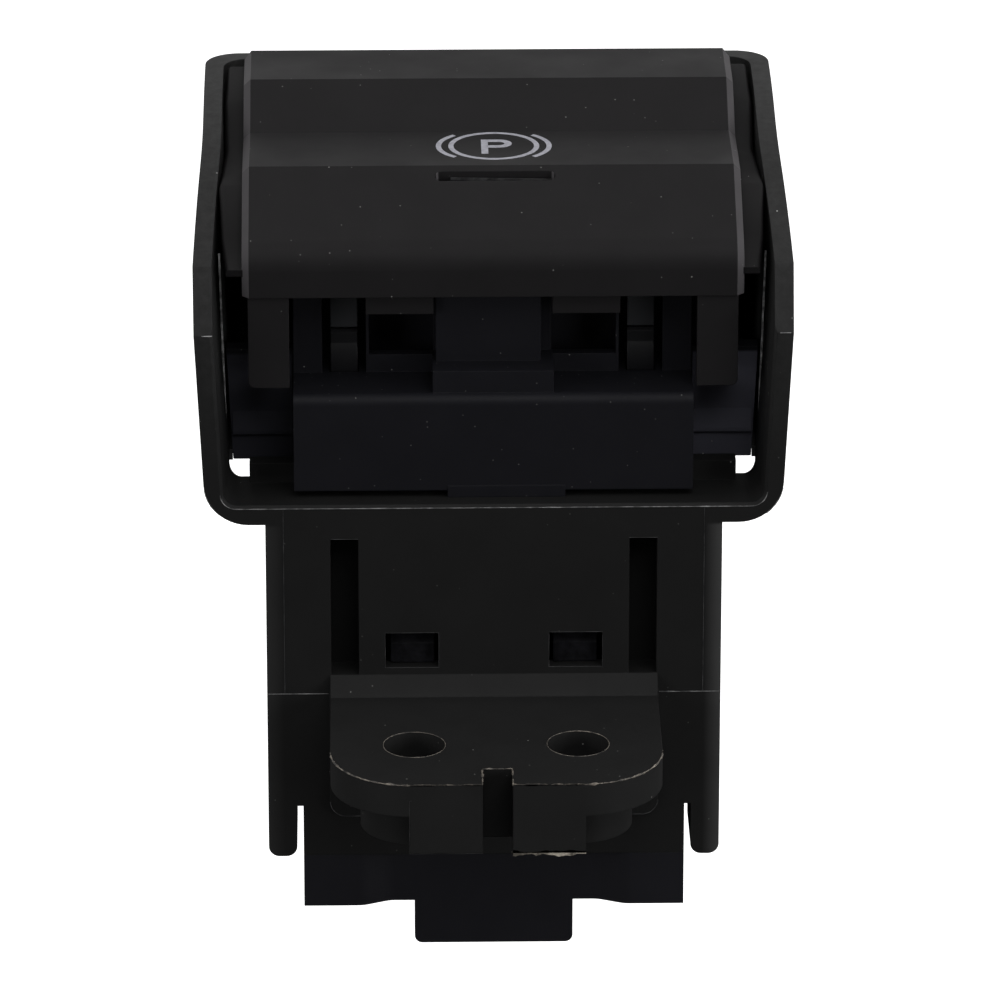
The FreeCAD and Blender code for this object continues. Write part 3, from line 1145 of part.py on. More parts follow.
polygon(prism, [
    (LAMP_Y + " + lamp_slot_radius", PLATE_TOP),
    ("bolt_to_front + lamp_hole_front + lamp_hole_depth + 1", PLATE_TOP),
    ("bolt_to_front + lamp_hole_front + lamp_hole_depth + 1", UNDER_BACK),
    (SYMBOL_Y + " + 1", UNDER_BACK),
    (LAMP_Y + " + lamp_slot_radius", UNDER_BACK + " - 1")])
grow(light, prism, "2 * guide_half")

lens = new_body("indicator_lens")
strip = sketch_on(lens, "XZ_Plane", "-(%s - lamp_slot_radius + lens_inset)"
                  % LAMP_Y, "lens_strip")
FACE_Z = "(symbol_front_z - lamp_slot_back * tan(brow_slope * 1deg))"
polygon(strip, [
    ("-lens_left", FACE_Z + " - 2 * cap_wall"),
    ("lens_right", FACE_Z + " - 2 * cap_wall"),
    ("lens_right", FACE_Z + " - lens_sink - lens_tilt"),
    ("-lens_left", FACE_Z + " - lens_sink")])
grow(lens, strip, "2 * (lamp_slot_radius - lens_inset)", backward=True)


def coil_path(radius, pitch, turns):
    """Lay the points of a coil about +Z, starting on +X."""
    steps = int(value("coil_steps"))
    points = []
    for step in range(int(round(turns * steps)) + 1):
        angle = 2 * math.pi * step / steps
        points.append(FreeCAD.Vector(radius * math.cos(angle),
                                     radius * math.sin(angle),
                                     pitch * step / steps))
    return points


def spring_wire(points, wire):
    """Draw a six-sided wire along points, with mitred turns."""
    heading = (points[1] - points[0]).normalize()
    side = heading.cross(FreeCAD.Vector(0, 0, 1)).normalize()
    up = side.cross(heading)
    ring = []
    for corner in range(7):
        angle = math.radians(60 * corner + 30)
        ring.append(points[0] + (side * math.cos(angle)
                                 + up * math.sin(angle)) * (wire / 2))
    profile = Part.makePolygon(ring)
    return Part.makePolygon(points).makePipeShell([profile], True, False, 1)


def spring(label, tube, place):
    """Add a spring made in code at its place."""
    feature = doc.addObject("Part::Feature", label)
    feature.Label = label
    feature.Shape = tube
    feature.Placement = place


# Compression springs under the sliders
wire = value("spring_wire")
low = value("spring_bottom_z + seat_gap") + wire / 2
rise = value("slider_bottom_z - seat_gap") - wire / 2 - low
turns = value("spring_turns")
tube = spring_wire(coil_path(value("spring_radius"), rise / turns, turns),
                   wire)
for label, across in (("slider_spring_left", "-slider_x"),
                      ("slider_spring_right", "slider_x")):
    spring(label, tube, FreeCAD.Placement(
        FreeCAD.Vector(value(across), value(SLIDER_MID), low),
        FreeCAD.Rotation()))

# Torsion springs on the axle: one leg under the lever, one on the base plate
wire = value("coil_wire")
pitch = value("coil_pitch")
points = coil_path(value("coil_radius"), pitch, value("coil_turns"))
slope = pitch / (2 * math.pi * value("coil_radius"))
reach = value("coil_leg")
drop = value("hinge_z - shelf_z - base_thick - seat_gap")
points.insert(0, points[0] - FreeCAD.Vector(0, reach, slope * reach))
points.append(points[-1] + FreeCAD.Vector(drop, 0, slope * drop))
tube = spring_wire(points, wire)
# The coil starts under the axle and runs outward along X
turn = FreeCAD.Rotation(FreeCAD.Vector(0, 0, -1), FreeCAD.Vector(0, 1, 0),
                        FreeCAD.Vector(1, 0, 0), "XYZ")
inner = value("coil_x") + wire / 2
spring("return_spring_right", tube, FreeCAD.Placement(
    FreeCAD.Vector(inner, value(HINGE_Y), value("hinge_z")), turn))
tube = tube.mirror(FreeCAD.Vector(0, 0, 0), FreeCAD.Vector(0, 0, 1))
spring("return_spring_left", tube, FreeCAD.Placement(
    FreeCAD.Vector(-inner, value(HINGE_Y), value("hinge_z")), turn))

doc.recompute()
os.makedirs("parts", exist_ok=True)
inner_kinds = ("PartDesign::Body", "Part::Box", "Part::Cylinder",
               "Part::Feature")
for item in doc.Objects:
    if "Invalid" in item.State or "Error" in item.State:
        raise RuntimeError("%s is not sound: %s" % (item.Name, item.State))
pieces = [item for item in doc.Objects if item.TypeId in inner_kinds]
for item in pieces:
    if item.Shape.isNull() or not item.Shape.isValid():
        raise RuntimeError("%s has no valid shape" % item.Label)
for item in pieces:
    item.Shape.exportStep("parts/%s.step" % item.Label)
    print(item.Label, len(item.Shape.Solids), round(item.Shape.Volume, 1))
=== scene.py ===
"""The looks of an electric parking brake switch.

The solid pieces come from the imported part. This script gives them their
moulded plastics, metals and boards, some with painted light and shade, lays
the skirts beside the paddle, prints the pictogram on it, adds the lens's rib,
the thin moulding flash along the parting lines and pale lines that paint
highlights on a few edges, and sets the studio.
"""

import json
import logging
import math
from abc import ABC, abstractmethod
from collections.abc import Callable
from dataclasses import dataclass, field
from enum import Enum

import bmesh
import bpy
from mathutils import Matrix, Vector

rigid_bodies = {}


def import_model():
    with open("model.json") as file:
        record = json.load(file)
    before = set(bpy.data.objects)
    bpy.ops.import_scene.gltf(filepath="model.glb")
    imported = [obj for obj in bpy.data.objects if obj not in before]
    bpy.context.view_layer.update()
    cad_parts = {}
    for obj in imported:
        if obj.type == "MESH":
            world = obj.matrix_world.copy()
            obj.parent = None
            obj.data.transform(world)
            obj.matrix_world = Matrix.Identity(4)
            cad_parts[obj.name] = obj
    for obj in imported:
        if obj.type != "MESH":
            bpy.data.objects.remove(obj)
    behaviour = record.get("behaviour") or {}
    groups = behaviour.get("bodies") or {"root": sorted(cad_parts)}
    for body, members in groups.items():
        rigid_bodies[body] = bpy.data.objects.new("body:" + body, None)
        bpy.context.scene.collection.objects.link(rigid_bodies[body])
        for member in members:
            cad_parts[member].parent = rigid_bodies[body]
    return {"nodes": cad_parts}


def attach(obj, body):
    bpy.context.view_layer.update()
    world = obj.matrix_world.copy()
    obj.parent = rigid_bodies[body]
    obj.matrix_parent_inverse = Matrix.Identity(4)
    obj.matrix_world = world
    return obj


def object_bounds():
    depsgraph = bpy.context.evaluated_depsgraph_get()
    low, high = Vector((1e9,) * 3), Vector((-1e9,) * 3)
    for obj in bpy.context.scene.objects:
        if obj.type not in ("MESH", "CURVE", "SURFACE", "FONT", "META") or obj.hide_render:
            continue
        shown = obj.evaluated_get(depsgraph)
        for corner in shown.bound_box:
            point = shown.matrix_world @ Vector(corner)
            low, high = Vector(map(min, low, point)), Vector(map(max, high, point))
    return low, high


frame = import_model()
CAD_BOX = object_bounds()
MM = 0.001
WHITE = (1.0, 1.0, 1.0, 1.0)
SIDES = ((-1, "left"), (1, "right"))
log = logging.getLogger("brake_switch")

Point = tuple[float, float, float]
Span = tuple[float, float]
Tree = bpy.types.NodeTree
Socket = bpy.types.NodeSocket


class Body(Enum):
    """The bodies that a piece can ride on."""

    BASE = "base"
    PADDLE = "paddle"


def srgb(code: str) -> tuple[float, float, float, float]:
    """Turn an sRGB hex colour into a linear one.

    Args:
        code: Six hex digits after a hash sign.

    Returns:
        Linear red, green and blue, and a full alpha.
    """
    channels = []
    for start in (1, 3, 5):
        part = int(code[start:start + 2], 16) / 255
        if part <= 0.04045:
            channels.append(part / 12.92)
        else:
            channels.append(((part + 0.055) / 1.055) ** 2.4)
    return (*channels, 1.0)


def add_node(tree: Tree, kind: str, values: dict | None = None,
             links: dict | None = None,
             **settings: str | int) -> bpy.types.Node:
    """Add one shader node.

    Args:
        tree: The node tree that gets the node.
        kind: The node's type name, less the ShaderNode that it starts with.
        values: Input name or number to its constant.
        links: Input name or number to the output socket that feeds it.
        **settings: Properties of the node itself.

    Returns:
        The new node.
    """
    node = tree.nodes.new("ShaderNode" + kind)
    for name, setting in settings.items():
        setattr(node, name, setting)
    for key, constant in (values or {}).items():
        node.inputs[key].default_value = constant
    for key, socket in (links or {}).items():
        tree.links.new(socket, node.inputs[key])
    return node


def cleared(owner: bpy.types.Material | bpy.types.World) -> Tree:
    """Turn an owner's nodes on and throw the standard ones away.

    Args:
        owner: The material or the world.

    Returns:
        Its empty node tree.
    """
    owner.use_nodes = True
    owner.node_tree.nodes.clear()
    return owner.node_tree


def clouds(tree: Tree, place: Socket, size_mm: float, detail: float,
           reach: Span, to: Span = (0.0, 1.0),
           roughness: float = 0.5) -> tuple[Socket, Socket]:
    """Add clouds, and the same clouds with their contrast set.

    Args:
        tree: The material's nodes.
        place: The coordinates that the clouds follow.
        size_mm: Their size.
        detail: How many finer sizes lie on them.
        reach: The part of their range that is used.
        to: What the ends of that part become.
        roughness: How strong the finer sizes are.

    Returns:
        The clouds as they are, and the ones with the contrast.
    """
    cloud = add_node(tree, "TexNoise", {
        "Scale": 1 / (size_mm * MM), "Detail": detail,
        "Roughness": roughness}, {"Vector": place}).outputs["Fac"]
    return cloud, add_node(tree, "MapRange", {
        "From Min": reach[0], "From Max": reach[1], "To Min": to[0],
        "To Max": to[1]}, {"Value": cloud}).outputs["Result"]


def along(tree: Tree, vector: Socket, axis: str, reach: Span,
          to: Span = (0.0, 1.0), **settings: str) -> Socket:
    """Add a slope along one axis.

    Args:
        tree: The nodes that get it.
        vector: The coordinates.
        axis: X, Y or Z, or -X for the distance to either side.
        reach: Where the slope starts and ends.
        to: Its values there.
        **settings: Properties of the slope's node.

    Returns:
        The slope.
    """
    part = add_node(tree, "SeparateXYZ",
                    links={"Vector": vector}).outputs[axis[-1]]
    if axis.startswith("-"):
        part = add_node(tree, "Math", links={0: part},
                        operation="ABSOLUTE").outputs[0]
    return add_node(tree, "MapRange", {
        "From Min": reach[0], "From Max": reach[1], "To Min": to[0],
        "To Max": to[1]}, {"Value": part}, **settings).outputs["Result"]


@dataclass(frozen=True)
class Finish(ABC):
    """What all finishes share: a name, a colour and the two ends."""

    name: str
    colour: str

    def build(self) -> bpy.types.Material:
        """Make the material.

        Returns:
            The finished material.
        """
        material = bpy.data.materials.new(self.name)
        tree = cleared(material)
        place = add_node(tree, "TexCoord").outputs["Object"]
        shell = self._shell(tree, place)
        add_node(tree, "OutputMaterial",
                 links={"Surface": shell.outputs["BSDF"]})
        return material

    @abstractmethod
    def _shell(self, tree: Tree, place: Socket) -> bpy.types.Node:
        """Make the surface shader and all that feeds it.

        Args:
            tree: The material's nodes.
            place: Object coordinates.

        Returns:
            The surface shader.
        """


@dataclass(frozen=True)
class PaintedSideLight:
    """Where painted light lightens the outer sides of a moulding, low down.

    The distances are in millimetres from the middle: where the painted light
    starts and where it is full. The top is the height that it stops at.
    """

    gain: float
    start: float
    full: float
    top: float
    fade: float = 0.3
    # share of the painted light on the left side; the right side gets it all
    left_share: float = 0.3


@dataclass(frozen=True)
class MouldedPlastic(Finish):
    """A plastic as it leaves the mould, with its grain, dust and soft edges.

    Fields in millimetres are real sizes on the piece. Painted light makes it
    paler with height (painted shade darker, for a negative amount), a painted
    highlight lies on its slanted sides, painted light on its outer sides low
    down, and more painted light ahead where it stands in front of the body.
    """

    roughness: float
    gloss: float = 0.5
    drift: Span = (-0.05, 0.06)
    drift_mm: float = 7.0
    grain_mm: float = 0.16
    grain_depth_mm: float = 0.006
    edge_mm: float = 0.14
    mottle: float = 0.12
    mottle_mm: float = 4.0
    dust: float = 0.0
    dust_mm: float = 0.9
    dust_colour: str = "#8c8c8a"
    speck: Span = (0.05, 0.085)
    # painted light by height, or painted shade if negative, broken into patches
    painted_height_shading: float = 0.0
    painted_shading_low_mm: float = 24.0
    painted_shading_high_mm: float = 56.0
    light_patch_span: Span = (0.45, 1.7)
    light_patch_mm: float = 0.9
    # painted highlight on faces that slant to the side
    painted_bevel_highlight: float = 0.0
    highlight_slant: float = 0.62
    highlight_spread: float = 0.2
    # painted light ahead of a plane, on what stands in front of the body
    ahead: float = 0.0
    ahead_from_mm: float = 12.4
    ahead_run_mm: float = 3.0
    # painted light far out to the sides and low
    painted_side_light: PaintedSideLight | None = None

    def _shell(self, tree: Tree, place: Socket) -> bpy.types.Node:
        """Make the surface shader and all that feeds it.

        Args:
            tree: The material's nodes.
            place: Object coordinates.

        Returns:
            The surface shader.
        """
        colour = self._tint(tree, place)
        if self.dust > 0:
            colour = self._dusted(tree, place, colour)
        # paint the light and shade into the colour
        for masks, gain in self._painted_light(tree, place):
            colour = self._lightened(tree, masks, gain, colour)
        _, sheen = clouds(tree, place, self.drift_mm, 4.0, (0.3, 0.7),
                          (self.roughness + self.drift[0],
                           self.roughness + self.drift[1]))
        return add_node(tree, "BsdfPrincipled", {
            "Base Color": srgb(self.colour), "Roughness": self.roughness,
            "Specular IOR Level": self.gloss, "IOR": 1.5}, {
            "Base Color": colour, "Roughness": sheen,
            "Normal": self._relief(tree, place)})

    def _tint(self, tree: Tree, place: Socket) -> Socket:
        """Vary the pigment a little.

        Args:
            tree: The material's nodes.
            place: Object coordinates.

        Returns:
            The colour.
        """
        cloud = add_node(tree, "TexNoise", {
            "Scale": 1 / (self.mottle_mm * MM), "Detail": 3.0},
            {"Vector": place})
        low, high = ((*(part * gain for part in srgb(self.colour)[:3]), 1)
                     for gain in (1 - self.mottle, 1 + self.mottle))
        return add_node(tree, "Mix", {6: low, 7: high},
                        {0: cloud.outputs["Fac"]},
                        data_type="RGBA").outputs[2]

    def _dusted(self, tree: Tree, place: Socket, colour: Socket) -> Socket:
        """Scatter specks of dust, one at most in each cell of a pattern.

        Args:
            tree: The material's nodes.
            place: Object coordinates.
            colour: The colour so far.

        Returns:
            The new colour.
        """
        cells = add_node(tree, "TexVoronoi", {
            "Scale": 1 / (self.dust_mm * MM), "Randomness": 1.0},
            {"Vector": place}, feature="F1")
        speck = add_node(tree, "MapRange", {
            "From Min": self.speck[0], "From Max": self.speck[1],
            "To Min": 1.0, "To Max": 0.0},
            {"Value": cells.outputs["Distance"]})
        some = add_node(tree, "SeparateColor",
                        links={"Color": cells.outputs["Color"]})
        chosen = add_node(tree, "Math", {1: 1 - self.dust},
                          {0: some.outputs["Red"]},
                          operation="GREATER_THAN")
        amount = speck.outputs["Result"]
        for mask in (chosen.outputs[0], some.outputs["Green"]):
            amount = add_node(tree, "Math",
                              links={0: amount, 1: mask},
                              operation="MULTIPLY").outputs[0]
        return add_node(tree, "Mix", {7: srgb(self.dust_colour)},
                        {0: amount, 6: colour}, data_type="RGBA").outputs[2]

    def _lightened(self, tree: Tree, masks: tuple[Socket, ...], gain: float,
                   colour: Socket) -> Socket:
        """Lighten a colour where all masks say so.

        Args:
            tree: The material's nodes.
            masks: The masks, from 0 to 1.
            gain: How many times lighter the colour gets, less one.
            colour: The colour so far.

        Returns:
            The new colour.
        """
        amount = masks[0]
        for mask in masks[1:]:
            amount = add_node(tree, "Math",
                              links={0: amount, 1: mask},
                              operation="MULTIPLY").outputs[0]
        factor = add_node(tree, "Math", {1: gain, 2: 1.0},
                          {0: amount}, operation="MULTIPLY_ADD")
        return add_node(tree, "VectorMath",
                        links={0: colour, "Scale": factor.outputs[0]},
                        operation="SCALE").outputs[0]

    def _painted_light(self, tree: Tree,
              place: Socket) -> list[tuple[tuple[Socket, ...], float]]:
        """Find where light or shade is painted into the colour, from first to last.

        Painted light grows with height in patches (painted shade, for a negative
        amount), a painted highlight lies on the slanted bevels, painted light on
        what stands ahead, and painted light on what lies far to the sides and low,
        more so on the right.

        Args:
            tree: The material's nodes.
            place: Object coordinates.

        Returns:
            Each kind's masks, from 0 to 1, and how much it lightens.
        """
        painted_masks = []
        # painted light or shade by height
        if self.painted_height_shading != 0:
            height = along(tree, place, "Z", (self.painted_shading_low_mm * MM,
                                              self.painted_shading_high_mm * MM))
            _, patchy = clouds(tree, place, self.light_patch_mm, 6.0, (0.3, 0.7),
                               self.light_patch_span, 0.7)
            painted_masks.append(((height, patchy), self.painted_height_shading))
        # painted highlight on the slanted bevels
        if self.painted_bevel_highlight > 0:
            facing = add_node(tree, "TexCoord").outputs["Normal"]
            parts = add_node(tree, "SeparateXYZ",
                             links={"Vector": facing})
            aside = add_node(tree, "Math",
                             links={0: parts.outputs["X"]},
                             operation="ABSOLUTE")
            near = add_node(tree, "Math",
                            {1: self.highlight_slant, 2: self.highlight_spread},
                            {0: aside.outputs[0]}, operation="COMPARE")
            painted_masks.append(((near.outputs[0],), self.painted_bevel_highlight))
        # painted light on what stands ahead
        if self.ahead > 0:
            end = self.ahead_from_mm - self.ahead_run_mm
            far = along(tree, place, "Y", (self.ahead_from_mm * MM, end * MM))
            painted_masks.append(((far,), self.ahead))
        # painted light far to the sides and low, more on the right
        if self.painted_side_light is not None:
            painted_side_light = self.painted_side_light
            far = along(tree, place, "-X", (painted_side_light.start * MM, painted_side_light.full * MM))
            low = along(tree, place, "Z",
                        (painted_side_light.top * MM, (painted_side_light.top - painted_side_light.fade) * MM))
            right = along(tree, place, "X", (-MM, MM), (painted_side_light.left_share, 1.0))
            painted_masks.append(((far, low, right), painted_side_light.gain))
        return painted_masks

    def _relief(self, tree: Tree, place: Socket) -> Socket:
        """Round the edges a touch and press the mould's grain in.

        Args:
            tree: The material's nodes.
            place: Object coordinates.

        Returns:
            The bent normal.
        """
        soft = add_node(tree, "Bevel",
                        {"Radius": self.edge_mm * MM}, samples=4)
        grain = add_node(tree, "TexNoise", {
            "Scale": 1 / (self.grain_mm * MM), "Detail": 2.0,
            "Roughness": 0.6}, {"Vector": place})
        return add_node(tree, "Bump", {
            "Strength": 0.6, "Distance": self.grain_depth_mm * MM}, {
            "Height": grain.outputs["Fac"],
            "Normal": soft.outputs["Normal"]}).outputs["Normal"]


@dataclass(frozen=True)
class ClearPlastic(Finish):
    """A see-through plastic with a polished skin."""

    roughness: float
    clarity: float
    wave_mm: float = 1.5
    wave_depth_mm: float = 0.01
    edge_mm: float = 0.08

    def _shell(self, tree: Tree, place: Socket) -> bpy.types.Node:
        """Make the surface shader and all that feeds it.

        Args:
            tree: The material's nodes.
            place: Object coordinates.

        Returns:
            The surface shader.
        """
        wave = add_node(tree, "TexNoise", {
            "Scale": 1 / (self.wave_mm * MM), "Detail": 2.0},
            {"Vector": place})
        soft = add_node(tree, "Bevel",
                        {"Radius": self.edge_mm * MM}, samples=4)
        bump = add_node(tree, "Bump", {
            "Strength": 0.4, "Distance": self.wave_depth_mm * MM}, {
            "Height": wave.outputs["Fac"], "Normal": soft.outputs["Normal"]})
        return add_node(tree, "BsdfPrincipled", {
            "Base Color": srgb(self.colour), "Roughness": self.roughness,
            "IOR": 1.49, "Transmission Weight": self.clarity},
            {"Normal": bump.outputs["Normal"]})


@dataclass(frozen=True)
class DrawnMetal(Finish):
    """A metal part with fine marks from drawing, turning or rolling."""

    roughness: float
    mark_mm: float = 0.12
    stretch: Point = (1.0, 1.0, 1.0)
    mark_depth_mm: float = 0.004
    drift: Span = (-0.08, 0.1)

    def _shell(self, tree: Tree, place: Socket) -> bpy.types.Node:
        """Make the surface shader and all that feeds it.

        Args:
            tree: The material's nodes.
            place: Object coordinates.

        Returns:
            The surface shader.
        """
        run = add_node(tree, "Mapping", {"Scale": self.stretch},
                       {"Vector": place}).outputs["Vector"]
        marks, sheen = clouds(tree, run, self.mark_mm, 3.0, (0.3, 0.7),
                              (self.roughness + self.drift[0],
                               self.roughness + self.drift[1]))
        bump = add_node(tree, "Bump", {
            "Strength": 0.3, "Distance": self.mark_depth_mm * MM},
            {"Height": marks})
        return add_node(tree, "BsdfPrincipled", {
            "Base Color": srgb(self.colour), "Metallic": 1.0},
            {"Roughness": sheen, "Normal": bump.outputs["Normal"]})


@dataclass(frozen=True)
class ThinFilm(Finish):
    """A film too thin to be one tone, with patches of a second one."""

    second: str
    roughness: float
    gloss: float
    patch_mm: float
    detail: float
    reach: Span
    patch_roughness: float = 0.5
    relief_mm: float = 0.0

    def _shell(self, tree: Tree, place: Socket) -> bpy.types.Node:
        """Make the surface shader and all that feeds it.

        Args:
            tree: The material's nodes.
            place: Object coordinates.

        Returns:
            The surface shader.
        """
        patches, span = clouds(tree, place, self.patch_mm, self.detail,
                               self.reach, roughness=self.patch_roughness)
        tone = add_node(tree, "Mix", {
            6: srgb(self.colour), 7: srgb(self.second)}, {0: span},
            data_type="RGBA")
        feeds = {"Base Color": tone.outputs[2]}
        if self.relief_mm > 0:
            feeds["Normal"] = add_node(tree, "Bump", {
                "Strength": 0.3, "Distance": self.relief_mm * MM},
                {"Height": patches}).outputs["Normal"]
        return add_node(tree, "BsdfPrincipled", {
            "Roughness": self.roughness, "Specular IOR Level": self.gloss},
            feeds)


def flash(name: str, colour: str, second: str) -> ThinFilm:
    """Give one grade of thin pale thread: paper-thin flash whose paler torn
    parts are painted highlight, or a painted highlight line on an edge.

    Args:
        name: The finish's name.
        colour: The colour of the thicker parts.
        second: The paler colour of the torn ones, a painted highlight.

    Returns:
        The finish.
    """
    return ThinFilm(name, colour, second, 0.55, 0.4, 1.3, 6.0, (0.42, 0.68),
                    0.7)


# Sparked-mould ABS: deep black with a fine even grain, hardly any mirror
# painted light: paler with height, on the flange ahead and on low side strips
HOUSING_ABS = MouldedPlastic("abs_spark_moulded", "#1e1e1e", 0.55, 0.12,
                             dust=0.2, dust_mm=1.1, painted_height_shading=1.3, ahead=0.3,
                             painted_side_light=PaintedSideLight(3.0, 21.2, 22.6, 18.2))
# Soft matt paddle of ABS: a finer grain, so light spreads evenly over it
# a painted highlight lightens its slanted side bevels
PADDLE_ABS = MouldedPlastic("abs_fine_moulded", "#1f1e1f", 0.55, 0.12,
                            grain_mm=0.12, dust=0.3, dust_mm=1.0,
                            painted_bevel_highlight=4.6)
# The same paddle plastic on its side skirts, below the bevels, painted
# darker as shade down in the gap
SHADED_SKIRT_ABS = MouldedPlastic("abs_skirt_painted_shade", "#151415", 0.55, 0.12,
                           grain_mm=0.12, dust=0.08, dust_mm=1.0)
# Polyamide moulded in a polished tool: bluish black, slightly slicker
# painted light on the wings, far to the sides and low, more on the right
FRAME_NYLON = MouldedPlastic("polyamide_moulded", "#19191d", 0.5, 0.12,
                             grain_mm=0.3, grain_depth_mm=0.004, dust=0.4,
                             painted_side_light=PaintedSideLight(8.0, 20.1, 20.2, 33.0))
# The same polyamide, smoother still, for the plug's cover, painted lighter
# than the frame against the flange's shade and darker towards the flange
# above it as painted shade
COVER_NYLON = MouldedPlastic("polyamide_connector", "#1f1f23", 0.5, 0.12,
                             grain_mm=0.35, grain_depth_mm=0.004, dust=0.06,
                             painted_height_shading=-0.5, painted_shading_low_mm=-8.0,
                             painted_shading_high_mm=-1.0)
# Glass-filled polyamide: greyer and duller where the fibres surface
LEVER_NYLON = MouldedPlastic("polyamide_glass_filled", "#232427", 0.6, 0.35,
                             grain_mm=0.25, mottle=0.25)
# Acetal: dense and slippery, with a soft sheen
SLIDER_ACETAL = MouldedPlastic("acetal_moulded", "#161618", 0.45, 0.2,
                               grain_mm=0.4, grain_depth_mm=0.003)
# Nitrile rubber: dead matt
STOP_RUBBER = MouldedPlastic("nitrile_rubber", "#18181a", 0.8, 0.3,
                             grain_mm=0.2, edge_mm=0.3)
# Epoxy moulding compound with its grey tinge
CHIP_EPOXY = MouldedPlastic("epoxy_moulding", "#222326", 0.62, 0.4,
                            grain_mm=0.1)
# Glass laminate under green solder mask
BOARD_LAMINATE = MouldedPlastic("laminate_solder_mask", "#12402a", 0.32,
                                grain_mm=0.5, edge_mm=0.05, mottle=0.2)
# White lamp body of filled polymer
LAMP_BODY = MouldedPlastic("lamp_body_white", "#d9d6c8", 0.4, grain_mm=0.2,
                           edge_mm=0.1)
# Polyimide film over copper
RIBBON_FILM = MouldedPlastic("polyimide_film", "#8a5416", 0.3, grain_mm=0.6,
                             edge_mm=0.03)
# Smoked polycarbonate: almost black until the lamp behind it is lit
SMOKED_LENS = ClearPlastic("polycarbonate_smoked", "#1d1d22", 0.16, 0.35)
# Clear acrylic, cast and polished
CLEAR_GUIDE = ClearPlastic("acrylic_clear", "#e6ebe8", 0.06, 0.92)
# Ground axle: fine rings round the shaft
GROUND_STEEL = DrawnMetal("steel_ground", "#b4b4b6", 0.3, 0.1,
                          (6.0, 0.4, 0.4))
# Oiled spring wire: dark, with marks along the draw
SPRING_STEEL = DrawnMetal("spring_wire_oiled", "#4b4b4e", 0.42, 0.15)
# Zinc-plated screws: pale and a little cloudy
ZINC_STEEL = DrawnMetal("steel_zinc_plated", "#b9bcc0", 0.36, 0.3)
# Tinned brass contacts: soft silver with a warm cast
TINNED_BRASS = DrawnMetal("brass_tinned", "#b9ae94", 0.32, 0.1,
                          (0.6, 0.6, 3.0))
# Rolled bronze strip: warm, with marks along the strip
BRONZE_STRIP = DrawnMetal("phosphor_bronze_rolled", "#a8763f", 0.35, 0.1,
                          (4.0, 0.6, 0.6))
# Pad-printed ink: an even pale grey film, thin at worn spots
PRINTED_INK = ThinFilm("pad_print_ink", "#b6b6bf", "#9b9ba4", 0.6, 0.3, 0.5,
                       4.0, (0.35, 0.75), relief_mm=0.005)
# Moulding flash of the same ABS, the more torn, the paler: these pale
# tones are painted highlight on the thin flash
FLASH_DULL = flash("moulding_flash", "#4a4a4b", "#9a9a9a")
FLASH_WARM = flash("moulding_flash_torn", "#3a3836", "#a39a8e")
# the faint grade also paints the highlight along the front openings' edges
FAINT_FLASH_AND_HIGHLIGHT = flash("moulding_flash_and_highlight_faint", "#242425", "#4c4c4d")
# pale painted highlight lines along the bezel's kink and the wings' edges
PAINTED_EDGE_HIGHLIGHT = flash("painted_edge_highlight", "#6a6a6b", "#e2e2e2")
FLASH_KEY = flash("moulding_flash_key", "#57524b", "#d2c9ba")


def only(piece: bpy.types.Object | None = None) -> None:
    """Select one object, or none, and make it the active one.

    Args:
        piece: The object to select, if any.
    """
    for other in bpy.data.objects:
        other.select_set(False)
    if piece is not None:
        piece.select_set(True)
        bpy.context.view_layer.objects.active = piece


def pick(piece: bpy.types.Object,
         test: Callable[[bmesh.types.BMFace], bool]) -> None:
    """Select the faces of a mesh in edit mode that pass a test.

    Args:
        piece: The object in edit mode.
        test: A function of a face that says whether it is wanted.
    """
    mesh = bmesh.from_edit_mesh(piece.data)
    for item in (*mesh.verts, *mesh.edges, *mesh.faces):
        item.select = False
    for face in mesh.faces:
        if test(face):
            face.select_set(True)
    bmesh.update_edit_mesh(piece.data)


def bake(piece: bpy.types.Object) -> None:
    """Bake a piece's place, turn and size into its mesh."""
    only(piece)
    bpy.ops.object.transform_apply(location=True, rotation=True, scale=True)


def settle(piece: bpy.types.Object, name: str) -> None:
    """Name a piece and bake its place into its mesh.

    Args:
        piece: The new object.
        name: The piece's name.
    """
    piece.name = name
    piece.data.name = name
    bake(piece)


def tear(piece: bpy.types.Object, cloud_mm: float, depth_mm: float) -> None:
    """Push a mesh about with a cloudy pattern.

    Args:
        piece: The object whose mesh is torn.
        cloud_mm: The size of the pattern's clouds.
        depth_mm: How far the pattern pushes in all.
    """
    tears = bpy.data.textures.new(piece.name, "CLOUDS")
    tears.noise_scale = cloud_mm * MM
    rough = piece.modifiers.new("tears", "DISPLACE")
    rough.texture = tears
    rough.texture_coords = "LOCAL"
    rough.strength = depth_mm * MM
    rough.mid_level = 0.5
    only(piece)
    bpy.ops.object.modifier_apply(modifier=rough.name)
    bpy.data.textures.remove(tears)


def dress(piece: bpy.types.Object, finish: Finish) -> None:
    """Put a finish on a piece; its material is made only once.

    Args:
        piece: The object.
        finish: The finish.
    """
    material = bpy.data.materials.get(finish.name) or finish.build()
    piece.data.materials.clear()
    piece.data.materials.append(material)


def give(piece: bpy.types.Object, finish: Finish, body: Body) -> None:
    """Dress a new piece and put it on its body.

    Args:
        piece: The new object.
        finish: Its finish.
        body: The body that it rides on.
    """
    dress(piece, finish)
    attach(piece, body.value)
    log.info("piece %s: %d faces", piece.name, len(piece.data.polygons))


